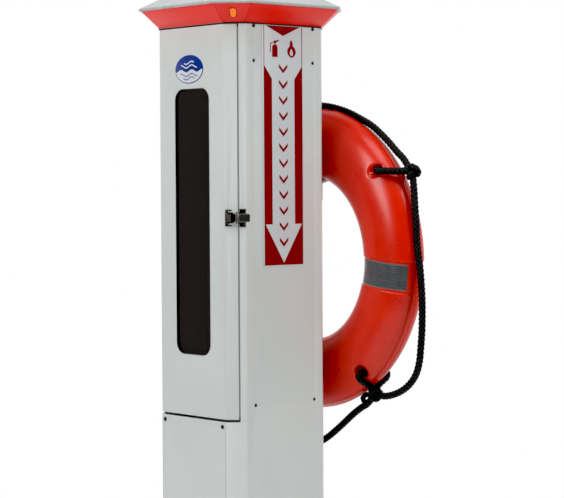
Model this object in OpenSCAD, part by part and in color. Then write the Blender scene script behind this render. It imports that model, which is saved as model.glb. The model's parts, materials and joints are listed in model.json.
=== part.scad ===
// Dockside safety pedestal: a chamfered square post with an extinguisher cabinet behind its front
// door, a flared collar and hipped roof on top, and a life ring with a grab rope on its rear face.
// +X is the sign side, -Y the door side, +Y the ring side and +Z up. The origin is on the floor,
// at the centre of the base bolts.

/* [Post] */
// Width of the square post
post_w = 254; // [230:1:320]
// Leg of the 45 degree chamfer on each corner
chamfer_leg = 29.5; // [24:0.5:40]
// Thickness of the post's wall
post_wall = 3; // [2:0.5:4]
// Height of the collar's lower edge above the floor
collar_z = 1265; // [1220:1:1400]

/* [Base] */
// Width of the square base flange
flange_w = 330; // [324:1:420]
// Thickness of the base flange
flange_t = 10; // [6:1:16]
// Distance between neighbouring anchor holes
anchor_spacing = 290; // [284:1:300]
// Diameter of each anchor hole
anchor_d = 14; // [10:1:18]
// Diameter of the cable entry in the base flange
entry_d = 90; // [50:1:110]

/* [Door] */
// Height of the door's lower edge above the floor
door_bottom = 508.5; // [480:0.5:560]
// Thickness of the door's sheet
door_t = 2; // [1.5:0.5:3]
// Gap all round the door
door_gap = 3; // [2:0.5:4]
// How far the door's free edge passes the middle of its chamfer
door_wing = 5; // [4:0.5:7]
// Height of the slot between the door and the lower panel
slot_h = 5; // [4:0.5:8]

/* [Window] */
// Width of the window opening
window_w = 104; // [80:1:130]
// Height of the window opening
window_h = 516; // [400:1:560]
// Corner radius of the window opening
window_r = 23; // [10:1:35]
// Sideways offset of the window from the door's middle
window_shift = 2; // [-4:1:4]
// Thickness of the smoked pane
pane_t = 3; // [2:0.5:4]
// Width of the overlap behind the sheet, all round
pane_lap = 12; // [9:1:14]

/* [Latch] */
// Height of the latch's middle above the floor
latch_z = 894; // [700:1:1100]
// Width of the lever
lever_w = 16; // [12:1:18]
// Length of the lever from its pivot to its free end
lever_len = 21; // [16:1:26]
// Diameter of the bail's wire
bail_d = 2.5; // [2:0.5:3]

/* [Collar and roof] */
// Height of the flared collar
collar_h = 33; // [24:1:45]
// How far the collar flares out past the post
collar_flare = 35; // [24:1:42]
// Leg of the chamfer at the collar's top
collar_leg = 51; // [44:1:60]
// Thickness of the collar's sheet
collar_t = 2.5; // [2:0.5:4]
// Thickness of the roof's rim
rim_t = 6; // [4:0.5:10]
// How far the rim stands out past the collar
rim_out = 5; // [2:0.5:8]
// Height of the roof above its rim
roof_h = 93; // [60:1:120]
// Thickness of the roof's shell
roof_t = 3; // [2:0.5:5]

/* [Sign] */
// Width of the sign
sign_w = 106; // [80:1:120]
// Length of the sign
sign_l = 463; // [300:1:480]
// Thickness of the sign
sign_t = 1; // [0.5:0.1:2]

/* [Life ring] */
// Outside diameter of the ring
ring_od = 612; // [580:1:616]
// Inside diameter of the ring
ring_id = 332; // [310:1:360]
// Thickness of the ring, front to back
ring_t = 92; // [80:1:100]
// Wall of the moulded shell
ring_wall = 3; // [2:0.5:4]
// Height of the ring's centre above the floor
ring_z = 807; // [760:1:860]
// Gap between the post's rear face and the ring
ring_gap = 16; // [14:1:40]
// Diameter of each rope hole
rope_hole_d = 24; // [20:1:28]
// Diameter of the grab rope
rope_d = 12; // [8:0.5:14]

/* [Ring pegs] */
// Diameter of each peg
peg_d = 14; // [12:1:18]
// Distance between the two pegs
peg_spacing = 44; // [40:1:60]
// Upward tilt of the pegs
peg_tilt = 15; // [8:1:20]
// Thickness of the bracket's plate
bracket_t = 4; // [3:0.5:6]

/* [Extinguisher] */
// Diameter of the cylinder
ext_d = 128; // [100:1:140]
// Height of the cylinder, foot to neck
ext_h = 372; // [280:1:400]
// Wall of the cylinder
ext_wall = 2; // [1.5:0.5:3]
// Diameter of the discharge hose
hose_d = 16; // [10:1:18]

/* [Hidden] */
$fn = 48;

fit = 0.05;      // radial clearance of a shaft in its hole
seat = 0.3;      // gap where curved pieces rest on each other
post_h = post_w / 2;
flat_h = post_h - chamfer_leg;   // half the width of a flat face
inner_h = post_h - post_wall;
door_top = collar_z - door_gap;
door_h = door_top - door_bottom;
door_mid = (door_top + door_bottom) / 2;
panel_top = door_bottom - slot_h;
shelf_t = 3;
shelf_top = panel_top - 0.5;
rim_z = collar_z + collar_h;
collar_top_h = post_h + collar_flare;
frame_t = 4;                     // thickness of the door frame and the panel frame
frame_y = -post_h + 23;          // front plane of the door frame
seal_t = 3;
tab_t = 3;
tab_h = 20;                      // how far the cap's tabs reach below the collar's lower edge

hinge_r = 3;                     // knuckle radius
hinge_pin_r = 1.5;
hinge_s = 7.5;                   // pin's place along the left chamfer
hinge_in = 1.5;                  // pin's depth below the chamfer's surface
hinge_clear = 3.5;               // sheet edges end this far from the pin
hinge_leaf_t = 1.5;
hinge_count = 9;                 // knuckles, alternately on the post and on the door
hinge_margin = 6;
hinge_play = 0.3;                // gap between neighbouring knuckles
hinge_side = post_h - chamfer_leg / 2 + (hinge_s - hinge_in) / sqrt(2) - hinge_r - 2.5;

screw_pan_h = 1.8;
side_fix = 76;                   // half the spacing of the fixings on the side faces
cap_screw_z = collar_z - 5.5;
rivet_top = collar_z - 71.5;
rivet_low = door_bottom + 26;

pane_y = -post_h + door_t + 1;   // front plane of the pane, behind its gasket
retainer_t = 1.5;

keeper_x = -13;                  // latch places are along the chamfer, from its middle
keeper_w = 12;
keeper_h = 31;
latch_plate = 1.6;
bail_x = -12;
bail_out = 5;
lever_x = 8;
lever_out = 5.5;
lever_nose = 3.7;
lever_plate = 2;
latch_pin_r = 1.5;
base_x0 = door_wing + door_gap + 0.4;
base_x1 = 20.4;
base_h = 34;

ring_y = post_h + ring_gap + ring_t / 2;
tube_a = (ring_od - ring_id) / 4;    // half the tube's radial width
tube_b = ring_t / 2;
tube_r = (ring_od + ring_id) / 4;
ring_turn = -6.3;                // the ring hangs turned by this much
rope_hole_r = tube_r + 45;
tape_t = 0.2;                    // thickness of the reflective tape
hole_angles = [for (k = [0 : 3]) ring_turn + 45 + 90 * k];
loop_angles = [-1.3, 150, -110, -83];
loop_w = 45;                     // centre distance of a loop's two legs
loop_half = tube_b - 28;         // half the straight length of each leg
knot_r = 17;
knot_out = loop_w + rope_d / 2 + knot_r + seat;
peg_r = peg_d / 2;
ring_rest = seat + tape_t + fit; // gap under the pegs, which carry the ring on its tape
peg_curve = tube_a / (2 * tube_b * tube_b);
peg_lift = tan(peg_tilt) * 0.87;
peg_rho = ring_id / 2 - peg_r / cos(peg_tilt) - pow(peg_lift, 2) / (4 * peg_curve) - ring_rest;
peg_z = ring_z + sqrt(pow(peg_rho, 2) - pow(peg_spacing / 2, 2));
peg_end_y = ring_y + 20;
peg_root_y = post_h + bracket_t;
bracket_w = 2 * flat_h - 6;
bracket_bolt_x = 62;
bracket_h = 60;
bracket_z = peg_z - (ring_y - peg_root_y) * tan(peg_tilt);

ext_x = -8;
ext_y = 0;
cradle_t = 2;
ext_z = shelf_top + cradle_t + seat;
ext_r = ext_d / 2;
neck_r = 17;
valve_h = 44;
lever_pivot = [ext_x - 12, ext_y, ext_z + ext_h + 40]; // of the squeeze lever
hose_x = ext_x - ext_r - hose_d / 2 - 4;

panel_t = 2.5;                   // thickness of the lower panel
lamp_dist = (2 * post_h - chamfer_leg + 2 * collar_top_h - collar_leg) / sqrt(8);
lamp_run = (2 * collar_top_h - collar_leg - 2 * post_h + chamfer_leg) / sqrt(2);
lamp_tilt = 90 + atan2(lamp_run, collar_h);
lamp_w = 15;                     // size of the lamp's housing
lamp_l = 26;
conduit_r = 8;
conduit_x = -flat_h + 22;
conduit_y = inner_h - conduit_r - 9;
box_w = 90;                      // size and place of the lamp driver's box
box_d = 40;
box_h = 120;
box_z = 300;
peg_back = (ring_y - peg_root_y) / cos(peg_tilt);
peg_front = (peg_end_y - ring_y) / cos(peg_tilt);
hinge_z0 = door_bottom + hinge_margin;
hinge_z1 = door_top - hinge_margin;
hinge_pitch = (hinge_z1 - hinge_z0) / hinge_count;
gauge_out = 18;                  // pressure gauge, from the extinguisher's axis
handle_l = 96;                   // carrying handle
grip_w = 22;
ear_y = 7.1;                     // half the gap between the handle's ears
pull_x = 22;                     // safety pin, from the extinguisher's axis

// Routes of the grab rope: X, then Y from the ring's mid plane, then Z from the ring's centre
top_route = [
    [274, 3, 184], [257, 7, 199], [239, 7, 213], [219, 7, 230], [197, 7, 247], [168, 7, 266],
    [137, 7, 281], [104, 7, 295], [68, 7, 305], [32, 7, 311], [-6, 7, 313], [-44, 7, 310],
    [-80, 7, 302], [-114, 7, 291], [-146, 6, 279], [-174, 4, 268], [-200, 2, 261], [-218, 1, 257]
];
right_route = [
    [291, -1, 157], [297, -4, 128], [303, -8, 100], [307, -9, 72], [308, -9, 44], [312, -9, 14],
    [317, -9, -16], [320, -9, -46], [322, -9, -76], [321, -8, -106], [319, -7, -136],
    [315, -6, -166], [309, -4, -195], [297, -2, -221], [276, -1, -243], [250, 0, -260],
    [222, 0, -272], [200, 0, -280]
];
bottom_route = [
    [167, 0, -291], [143, 0, -299], [118, 0, -313], [94, 0, -331], [69, 0, -349], [43, 0, -366],
    [15, 0, -380], [-15, 0, -389], [-46, 0, -392], [-77, 0, -389], [-107, 0, -380],
    [-135, 0, -367], [-161, 0, -350], [-184, 0, -330], [-204, 0, -307], [-221, 0, -282],
    [-234, 0, -255]
];
left_route = [
    [-243, -1, 238], [-257, -3, 211], [-270, -5, 183], [-282, -7, 155], [-293, -8, 126],
    [-302, -9, 97], [-309, -9, 68], [-314, -9, 38], [-317, -9, 8], [-318, -9, -22],
    [-317, -9, -52], [-314, -9, -82], [-309, -8, -111], [-302, -7, -140], [-292, -5, -168],
    [-276, -3, -197], [-253, -1, -226]
];

// Corner leg of a chamfered square whose sides are moved in by t
function inset_leg(leg, t) = leg - t * (2 - sqrt(2));

// Outline of a chamfered square, from its half width and its corner leg
function outline(h, leg) = [
    [h - leg, -h], [h, leg - h], [h, h - leg], [h - leg, h],
    [leg - h, h], [-h, h - leg], [-h, leg - h], [leg - h, -h]
];

// A point on a front chamfer: side is 1 or -1, s runs back from its middle, d is its depth
function on_edge(side, s, d) =
    [side * (post_h - chamfer_leg / 2 + (s - d) / sqrt(2)), -post_h + chamfer_leg / 2 + (s + d) / sqrt(2)];

// Inside fold of a sheet of thickness t, as a distance from the middle
function fold(t) = flat_h - t * (sqrt(2) - 1);

module inner_outline(t = 0) {
    polygon(outline(inner_h - t, inset_leg(chamfer_leg, post_wall + t)));
}

// Places its children on the right front chamfer: X along it, -Y outwards
module right_chamfer(z = 0) {
    translate([post_h - chamfer_leg / 2, -post_h + chamfer_leg / 2, z]) rotate([0, 0, 45]) children();
}

module left_chamfer(z = 0) {
    mirror([1, 0, 0]) right_chamfer(z) children();
}

// Box from its two corners
module block(a, b) {
    translate(a) cube(b - a);
}

// Upright plate in the XZ plane with rounded corners, from y0 to y1
module plate_xz(w, h, r, y0, y1) {
    translate([0, y1, 0]) rotate([90, 0, 0]) linear_extrude(y1 - y0) {
        square([w - 2 * r, h], center = true);
        square([w, h - 2 * r], center = true);
        for (x = [-1, 1], y = [-1, 1]) translate([x * (w / 2 - r), y * (h / 2 - r)]) circle(r);
    }
}

// Capsule-shaped plate, its length along X, from z0 to z1
module capsule(w, l, z0, z1) {
    translate([0, 0, z0]) linear_extrude(z1 - z0) {
        square([l - w, w], center = true);
        for (x = [-1, 1]) translate([x * (l - w) / 2, 0]) circle(d = w);
    }
}

// Pan-head screw along -Z, its head's seat at the origin
module pan_screw(head_r, shank_r, shank_l) {
    cylinder(r = head_r, h = screw_pan_h * 0.6);
    translate([0, 0, screw_pan_h * 0.6]) cylinder(r1 = head_r, r2 = head_r * 0.6, h = screw_pan_h * 0.4);
    translate([0, 0, -shank_l]) cylinder(r = shank_r, h = shank_l);
}

// Frustum between two chamfered squares
module flare(h0, leg0, z0, h1, leg1, z1) {
    hull() {
        translate([0, 0, z0]) linear_extrude(0.01) polygon(outline(h0, leg0));
        translate([0, 0, z1 - 0.01]) linear_extrude(0.01) polygon(outline(h1, leg1));
    }
}

// Round tube of radius r swept along a route of points
module sweep(route, r, sides = 8) {
    last = len(route) - 1;
    points = [for (i = [0 : last])
        let (
            a = route[max(i - 1, 0)],
            b = route[min(i + 1, last)],
            t = (b - a) / norm(b - a),
            u0 = cross(t, [0, 1, 0]),
            u = u0 / norm(u0),
            v = cross(t, u)
        )
        for (k = [0 : sides - 1])
            route[i] + r * (cos(360 * k / sides) * u + sin(360 * k / sides) * v)
    ];
    walls = [for (i = [0 : last - 1], k = [0 : sides - 1])
        let (n = (k + 1) % sides)
        [i * sides + k, (i + 1) * sides + k, (i + 1) * sides + n, i * sides + n]
    ];
    start = [for (k = [0 : sides - 1]) k];
    end = [for (k = [sides - 1 : -1 : 0]) last * sides + k];
    polyhedron(points = points, faces = concat(walls, [start, end]), convexity = 6);
}

// ---- post and base ----

module base_flange() color("gainsboro") {
    corner_r = 12;
    difference() {
        linear_extrude(flange_t) {
            square([flange_w - 2 * corner_r, flange_w], center = true);
            square([flange_w, flange_w - 2 * corner_r], center = true);
            for (x = [-1, 1], y = [-1, 1])
                translate([x, y] * (flange_w / 2 - corner_r)) circle(corner_r);
        }
        for (x = [-1, 1], y = [-1, 1])
            translate([x * anchor_spacing / 2, y * anchor_spacing / 2, -1])
                cylinder(d = anchor_d, h = flange_t + 2);
        translate([0, 0, -1]) cylinder(d = entry_d, h = flange_t + 2);
    }
}

module side_holes(r) {
    for (side = [-1, 1], y = [-1, 1], z = [rivet_low, rivet_top])
        translate([side * post_h, y * side_fix, z]) rotate([0, 90, 0])
            cylinder(r = r, h = 4 * post_wall, center = true);
}

module cap_places() {
    for (x = [-1, 1]) translate([x * side_fix, post_h, cap_screw_z]) rotate([-90, 0, 0]) children();
    for (side = [-1, 1], y = [-1, 1])
        translate([side * post_h, y * side_fix, cap_screw_z]) rotate([0, side * 90, 0]) children();
}

module bracket_places() {
    for (x = [-1, 1], z = [-1, 1])
        translate([x * bracket_bolt_x, post_h, bracket_z + z * (bracket_h / 2 - 14)])
            rotate([-90, 0, 0]) children();
}

module latch_screw_places() {
    for (z = [-1, 1]) right_chamfer(latch_z + z * (base_h / 2 - 3))
        translate([base_x0 + 6, 0, 0]) rotate([90, 0, 0]) children();
}

module post_shell() color("whitesmoke") {
    shell_h = rim_z - flange_t;
    difference() {
        translate([0, 0, flange_t]) linear_extrude(shell_h) difference() {
            polygon(outline(post_h, chamfer_leg));
            inner_outline();
        }
        translate([0, 0, panel_top]) linear_extrude(collar_z - panel_top) polygon([
            on_edge(1, door_wing + door_gap, 8), on_edge(1, door_wing + door_gap, -60),
            on_edge(-1, hinge_s + hinge_clear, -60), on_edge(-1, hinge_s + hinge_clear, 8)
        ]);
        block([-flat_h, -post_h - 1, flange_t + 2], [flat_h, -post_h + 2 * post_wall, panel_top + 1]);
        side_holes(2 + fit);
        cap_places() cylinder(r = 2.1, h = 4 * post_wall, center = true);
        bracket_places() cylinder(r = 4.1, h = 4 * post_wall, center = true);
        latch_screw_places() cylinder(r = 1.3, h = 4 * post_wall, center = true);
    }
}

module door_frame() color("silver") {
    low = shelf_top;
    top = collar_z - tab_t;
    difference() {
        translate([0, 0, low]) linear_extrude(top - low) intersection() {
            inner_outline();
            translate([-post_h, frame_y]) square([post_w, frame_t]);
        }
        block([-flat_h + 5, frame_y - 1, low + 14], [flat_h - 5, frame_y + frame_t + 1, top - 14]);
        block([-post_w, frame_y - 1, 0], [-hinge_side, frame_y + frame_t + 1, 2 * collar_z]);
    }
}

module door_seal() color("dimgray") {
    seal_w = 9;
    half_w = flat_h + 6;
    low = door_bottom + 1;
    top = door_top - 1;
    difference() {
        block([-half_w, frame_y - seal_t, low], [half_w, frame_y, top]);
        block(
            [seal_w - half_w, frame_y - seal_t - 1, low + seal_w],
            [half_w - seal_w, frame_y + 1, top - seal_w]
        );
    }
}

module panel_places(edge = 6) {
    for (x = [-1, 1], z = [flange_t + 26, panel_top - 9.5])
        translate([x * (flat_h - edge - 3), -post_h, z]) rotate([90, 0, 0]) children();
}

module panel_frame() color("silver") {
    low = flange_t;
    top = shelf_top - shelf_t;
    difference() {
        translate([0, 0, low]) linear_extrude(top - low) intersection() {
            inner_outline();
            translate([-post_h, -post_h + panel_t]) square([post_w, frame_t]);
        }
        block([-flat_h + 18, -post_h, low + 50], [flat_h - 18, -post_h + 3 * frame_t, top - 20]);
        panel_places() cylinder(r = 2 + fit, h = 30, center = true);
    }
}

module lower_panel() color("white") {
    seam = 1;
    difference() {
        block([seam - flat_h, -post_h, flange_t + 3], [flat_h - seam, -post_h + panel_t, panel_top]);
        panel_places() cylinder(r = 2 + fit, h = 30, center = true);
    }
}

module panel_screws() color("dimgray") {
    panel_places() pan_screw(4, 2, panel_t + frame_t + 2);
}

module cabinet_shelf() color("silver") {
    difference() {
        translate([0, 0, shelf_top - shelf_t]) linear_extrude(shelf_t) intersection() {
            inner_outline();
            translate([-post_h, -post_h + panel_t]) square([post_w, post_w]);
        }
        translate([conduit_x, conduit_y, 0]) cylinder(r = conduit_r + fit, h = collar_z);
    }
}

module top_bulkhead() color("silver") {
    difference() {
        translate([0, 0, collar_z - tab_t]) linear_extrude(tab_t) intersection() {
            inner_outline(tab_t);
            translate([-post_h, frame_y]) square([post_w, post_w]);
        }
        translate([conduit_x, conduit_y, 0]) cylinder(r = conduit_r + fit, h = collar_z + 10);
    }
}

module cap_tabs() color("silver") {
    half_w = flat_h - 6;
    low = collar_z - tab_h;
    difference() {
        union() {
            block([-half_w, inner_h - tab_t, low], [half_w, inner_h, rim_z]);
            for (side = [0, 1]) mirror([side, 0, 0])
                block([inner_h - tab_t, -half_w, low], [inner_h, half_w, rim_z]);
        }
        cap_places() cylinder(r = 2 + fit, h = 40, center = true);
    }
}

module cap_screws() color("dimgray") {
    cap_places() pan_screw(3.4, 2, post_wall + tab_t + 3);
}

module side_rivets() color("white") {
    for (side = [-1, 1], y = [-1, 1], z = [rivet_low, rivet_top])
        translate([side * post_h, y * side_fix, z]) rotate([0, side * 90, 0]) {
            cylinder(r1 = 3.2, r2 = 2.2, h = 1);
            translate([0, 0, -post_wall - 2]) cylinder(r = 2, h = post_wall + 2);
        }
}

// ---- collar, roof and lamp ----

module collar_gasket() color("black") {
    lap = 1.5;
    gasket_h = 2;
    translate([0, 0, collar_z - gasket_h]) linear_extrude(gasket_h) difference() {
        polygon(outline(post_h + lap, chamfer_leg + lap * (2 - sqrt(2))));
        polygon(outline(post_h, chamfer_leg));
        translate([-flat_h, -post_w]) square([2 * flat_h, post_w]);
    }
}

// Places its children on the middle of the collar's right front facet: Z outwards, X down its slope
module lamp_place() {
    translate([lamp_dist / sqrt(2), -lamp_dist / sqrt(2), collar_z + collar_h / 2])
        rotate([0, 0, -45]) rotate([0, lamp_tilt, 0]) children();
}

module collar_band() color("orangered") {
    low_h = post_h + 0.5;
    difference() {
        flare(low_h, chamfer_leg, collar_z, collar_top_h, collar_leg, rim_z);
        flare(low_h - collar_t, inset_leg(chamfer_leg, collar_t), collar_z - 0.02,
            collar_top_h - collar_t * 1.4, inset_leg(collar_leg, collar_t * 1.4), rim_z + 0.02);
        translate([0, 0, collar_z - 1]) linear_extrude(collar_h + 2)
            polygon(outline(post_h, chamfer_leg));
        lamp_place() capsule(lamp_w + 0.2, lamp_l + 0.2, -20, 10);
    }
}

module lamp_holder() color("darkred") {
    lamp_place() difference() {
        union() {
            capsule(lamp_w, lamp_l, -8, 0);
            capsule(lamp_w + 5, lamp_l + 5, -collar_t * 1.5 - 4, -collar_t * 1.5 - 2);
        }
        capsule(lamp_w - 3, lamp_l - 3, -6, 1);
    }
}

module lamp_lens() color("orange") {
    lamp_place() {
        capsule(lamp_w - 5, lamp_l - 5, -3, 0.5);
        capsule(lamp_w - 3.1, lamp_l - 3.1, -4.2, -3);
    }
}

module lamp_board() color("darkgreen") {
    lamp_place() {
        capsule(lamp_w - 3.1, lamp_l - 3.1, -6, -5);
        for (x = [-5, 5]) translate([x, 0, -5]) cylinder(r = 1.8, h = 0.8);
    }
}

module roof_cap() color("white") {
    out_h = collar_top_h + rim_out;
    out_leg = collar_leg + rim_out * (2 - sqrt(2));
    apex_h = 6;
    ledge = 60;
    difference() {
        union() {
            translate([0, 0, rim_z]) linear_extrude(rim_t) polygon(outline(out_h, out_leg));
            flare(out_h - 1, out_leg, rim_z + rim_t, apex_h, 2, rim_z + rim_t + roof_h);
        }
        flare(out_h - ledge, out_leg - 20, rim_z - 0.01, out_h - ledge, out_leg - 20, rim_z + rim_t + 0.01);
        flare(out_h - roof_t * 3, out_leg, rim_z + roof_t, apex_h, 2, rim_z + rim_t + roof_h - roof_t * 2);
    }
}

// ---- wiring ----

module driver_box() color("slategray") {
    y1 = inner_h;
    difference() {
        block([-box_w / 2, y1 - box_d, box_z], [box_w / 2, y1, box_z + box_h]);
        block([3 - box_w / 2, y1 - box_d + 3, box_z + 3], [box_w / 2 - 3, y1 - 4, box_z + box_h - 3]);
        translate([0, y1 - box_d / 2, box_z - 1]) cylinder(r = 8.1, h = 6);
        translate([-box_w / 2 - 1, conduit_y, box_z + box_h - 30]) rotate([0, 90, 0])
            cylinder(r = conduit_r + fit, h = 6);
    }
}

module conduit() color("gray") {
    bend = 20;
    x0 = -box_w / 2 + 2;
    z0 = box_z + box_h - 30;
    translate([conduit_x + bend, conduit_y, z0]) rotate([0, 90, 0]) difference() {
        cylinder(r = conduit_r, h = x0 - conduit_x - bend);
        translate([0, 0, -1]) cylinder(r = conduit_r - 1.5, h = x0 - conduit_x);
    }
    translate([conduit_x + bend, conduit_y, z0 + bend]) rotate([90, 0, 0]) rotate([0, 0, 180])
        rotate_extrude(angle = 90) translate([bend, 0]) difference() {
            circle(conduit_r);
            circle(conduit_r - 1.5);
        }
    translate([conduit_x, conduit_y, z0 + bend]) difference() {
        cylinder(r = conduit_r, h = collar_z + 12 - z0 - bend);
        translate([0, 0, -1]) cylinder(r = conduit_r - 1.5, h = collar_z);
    }
}

module cable_gland() color("dimgray") {
    translate([0, inner_h - box_d / 2, box_z]) difference() {
        union() {
            translate([0, 0, -8]) cylinder(r = 12, h = 8, $fn = 6);
            translate([0, 0, -16]) cylinder(r1 = 8, r2 = 10, h = 8);
            cylinder(r = 8, h = 8);
        }
        translate([0, 0, -20]) cylinder(r = 5, h = 40);
    }
}

// ---- sign ----

module sign_plate() color("firebrick") {
    sign_y = -3;
    block(
        [post_h, sign_y - sign_w / 2, collar_z - 2 - sign_l],
        [post_h + sign_t, sign_y + sign_w / 2, collar_z - 2]
    );
}

// ---- ring bracket ----

module peg_place() {
    for (x = [-1, 1]) translate([x * peg_spacing / 2, ring_y, peg_z]) rotate([-90 + peg_tilt, 0, 0])
        children();
}

module ring_bracket() color("silver") {
    difference() {
        translate([0, 0, bracket_z]) plate_xz(bracket_w, bracket_h, 10, post_h, post_h + bracket_t);
        bracket_places() cylinder(r = 4.1, h = 40, center = true);
    }
}

module ring_pegs() color("silver") {
    intersection() {
        peg_place() translate([0, 0, -peg_back - peg_d])
            cylinder(r = peg_r, h = peg_back + peg_d + peg_front);
        block([-post_w, peg_root_y, 0], [post_w, ring_y + ring_t * 2, 2 * collar_z]);
    }
}

module peg_caps() color("black") {
    cap_l = 5;
    peg_place() translate([0, 0, peg_front]) {
        cylinder(r = peg_r, h = cap_l - 2);
        translate([0, 0, cap_l - 2]) cylinder(r1 = peg_r, r2 = peg_r - 2, h = 2);
    }
}

module bracket_bolts() color("gray") {
    bracket_places() {
        translate([0, 0, bracket_t]) cylinder(r = 7, h = 5, $fn = 6);
        translate([0, 0, -post_wall - 8]) cylinder(r = 4, h = post_wall + 8 + bracket_t);
        translate([0, 0, -post_wall - 6]) difference() {
            cylinder(r = 7, h = 6, $fn = 6);
            translate([0, 0, -1]) cylinder(r = 3.9, h = 8);
        }
    }
}

// ---- door ----

module hinge_segments(parity, z0, z1) {
    pitch = (z1 - z0) / hinge_count;
    for (k = [0 : hinge_count - 1]) if (k % 2 == parity)
        translate([0, 0, z0 + k * pitch]) children();
}

module hinge_post_leaf() color("silver") {
    left_chamfer() difference() {
        union() {
            block([hinge_s + hinge_clear + 1, post_wall, hinge_z0], [19, post_wall + hinge_leaf_t, hinge_z1]);
            hinge_segments(0, hinge_z0, hinge_z1) {
                block(
                    [hinge_s, post_wall, 0],
                    [hinge_s + hinge_clear + 2, post_wall + hinge_leaf_t, hinge_pitch - hinge_play]
                );
                translate([hinge_s, hinge_in, 0]) cylinder(r = hinge_r, h = hinge_pitch - hinge_play);
            }
        }
        translate([hinge_s, hinge_in, 0]) cylinder(r = hinge_pin_r + fit, h = 2 * collar_z);
    }
}

module hinge_door_leaf() color("silver") {
    left_chamfer() difference() {
        union() {
            block([-12, door_t, hinge_z0], [hinge_s - hinge_clear - 1, door_t + hinge_leaf_t, hinge_z1]);
            hinge_segments(1, hinge_z0, hinge_z1) {
                block(
                    [hinge_s - hinge_clear - 2, door_t, 0],
                    [hinge_s, door_t + hinge_leaf_t, hinge_pitch - hinge_play]
                );
                translate([hinge_s, hinge_in, 0]) cylinder(r = hinge_r, h = hinge_pitch - hinge_play);
            }
        }
        translate([hinge_s, hinge_in, 0]) cylinder(r = hinge_pin_r + fit, h = 2 * collar_z);
    }
}

module hinge_pin() color("gray") {
    left_chamfer(hinge_z0) translate([hinge_s, hinge_in, 0])
        cylinder(r = hinge_pin_r, h = hinge_z1 - hinge_z0);
}

module keeper_holes(r) {
    for (z = [-1, 1]) right_chamfer(latch_z + z * (keeper_h / 2 - 3))
        translate([keeper_x, 0, 0]) rotate([90, 0, 0]) cylinder(r = r, h = 12, center = true);
}

module door_flange(z) {
    right_x = 110;
    left_x = 106;
    reach = frame_y - seal_t - seat;
    line = fold(door_t) + post_h - door_t;
    translate([0, 0, z]) linear_extrude(door_t) polygon([
        [-fold(door_t), door_t - post_h], [fold(door_t), door_t - post_h],
        [right_x, right_x - line], [right_x, reach], [-left_x, reach], [-left_x, left_x - line]
    ]);
}

module door_skin() color("whitesmoke") {
    left_end = hinge_s - hinge_clear;
    difference() {
        translate([0, 0, door_bottom]) linear_extrude(door_h) polygon([
            on_edge(-1, left_end, 0), [-flat_h, -post_h], [flat_h, -post_h], on_edge(1, door_wing, 0),
            on_edge(1, door_wing, door_t), [fold(door_t), door_t - post_h],
            [-fold(door_t), door_t - post_h], on_edge(-1, left_end, door_t)
        ]);
        translate([window_shift, 0, door_mid])
            plate_xz(window_w, window_h, window_r, -post_h - 1, -post_h + door_t + 1);
        keeper_holes(1.3);
    }
    door_flange(door_bottom);
    door_flange(door_top - door_t);
}

module window_ring(outer, inner, y0, y1) {
    translate([window_shift, 0, door_mid]) difference() {
        plate_xz(window_w + 2 * outer, window_h + 2 * outer, window_r + outer, y0, y1);
        plate_xz(window_w + 2 * inner, window_h + 2 * inner, window_r + inner, y0 - 1, y1 + 1);
    }
}

module window_gasket() color("black") {
    lip = 1.2;
    window_ring(pane_lap, -lip, pane_y - 1, pane_y);
    window_ring(-0.02, -lip, -post_h - 0.4, pane_y - 1);
}

module window_pane() color("dimgray") {
    translate([window_shift, 0, door_mid])
        plate_xz(window_w + 2 * pane_lap, window_h + 2 * pane_lap, window_r + pane_lap, pane_y, pane_y + pane_t);
}

module nut_places() {
    half_w = window_w / 2 + pane_lap - 4;
    half_h = window_h / 2 + pane_lap - 4;
    for (x = [-1, 1], z = [-1, 0, 1])
        translate([window_shift + x * half_w, pane_y + pane_t, door_mid + z * (half_h - window_r - 8)])
            rotate([-90, 0, 0]) children();
    for (z = [-1, 1])
        translate([window_shift, pane_y + pane_t, door_mid + z * half_h]) rotate([-90, 0, 0]) children();
}

module window_retainer() color("silver") {
    window_ring(pane_lap, 1, pane_y + pane_t, pane_y + pane_t + retainer_t);
}

module retainer_nuts() color("gray") {
    nut_places() translate([0, 0, retainer_t]) cylinder(r = 3, h = 3, $fn = 6);
}

module door_badge() color("royalblue") {
    badge_x = -5;
    badge_z = door_top - 81;
    translate([badge_x, -post_h, badge_z]) rotate([90, 0, 0]) linear_extrude(0.8) {
        badge_w = 85;
        badge_h = 55;
        polygon([for (k = [0 : 47]) [badge_w / 2 * cos(k * 7.5), badge_h / 2 * sin(k * 7.5)]]);
    }
}

// ---- latch ----

module latch_keeper() color("gray") {
    right_chamfer(latch_z) difference() {
        union() {
            block([keeper_x - keeper_w / 2, -latch_plate, -keeper_h / 2], [keeper_x + keeper_w / 2, 0, keeper_h / 2]);
            for (z = [-1, 1]) translate([0, 0, z * 8]) {
                block([bail_x - 3, -bail_out, -1], [bail_x + 3, -latch_plate, 1]);
                translate([bail_x, -bail_out, -1]) cylinder(r = 3, h = 2);
            }
        }
        translate([bail_x, -bail_out, -20]) cylinder(r = bail_d / 2 + fit, h = 40);
        for (z = [-1, 1]) translate([keeper_x, 0, z * (keeper_h / 2 - 3)]) rotate([90, 0, 0])
            cylinder(r = 1.3, h = 12, center = true);
    }
}

module keeper_screws() color("dimgray") {
    for (z = [-1, 1]) right_chamfer(latch_z + z * (keeper_h / 2 - 3))
        translate([keeper_x, -latch_plate, 0]) rotate([90, 0, 0])
            pan_screw(2.4, 1.2, latch_plate + door_t + 2);
}

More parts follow.
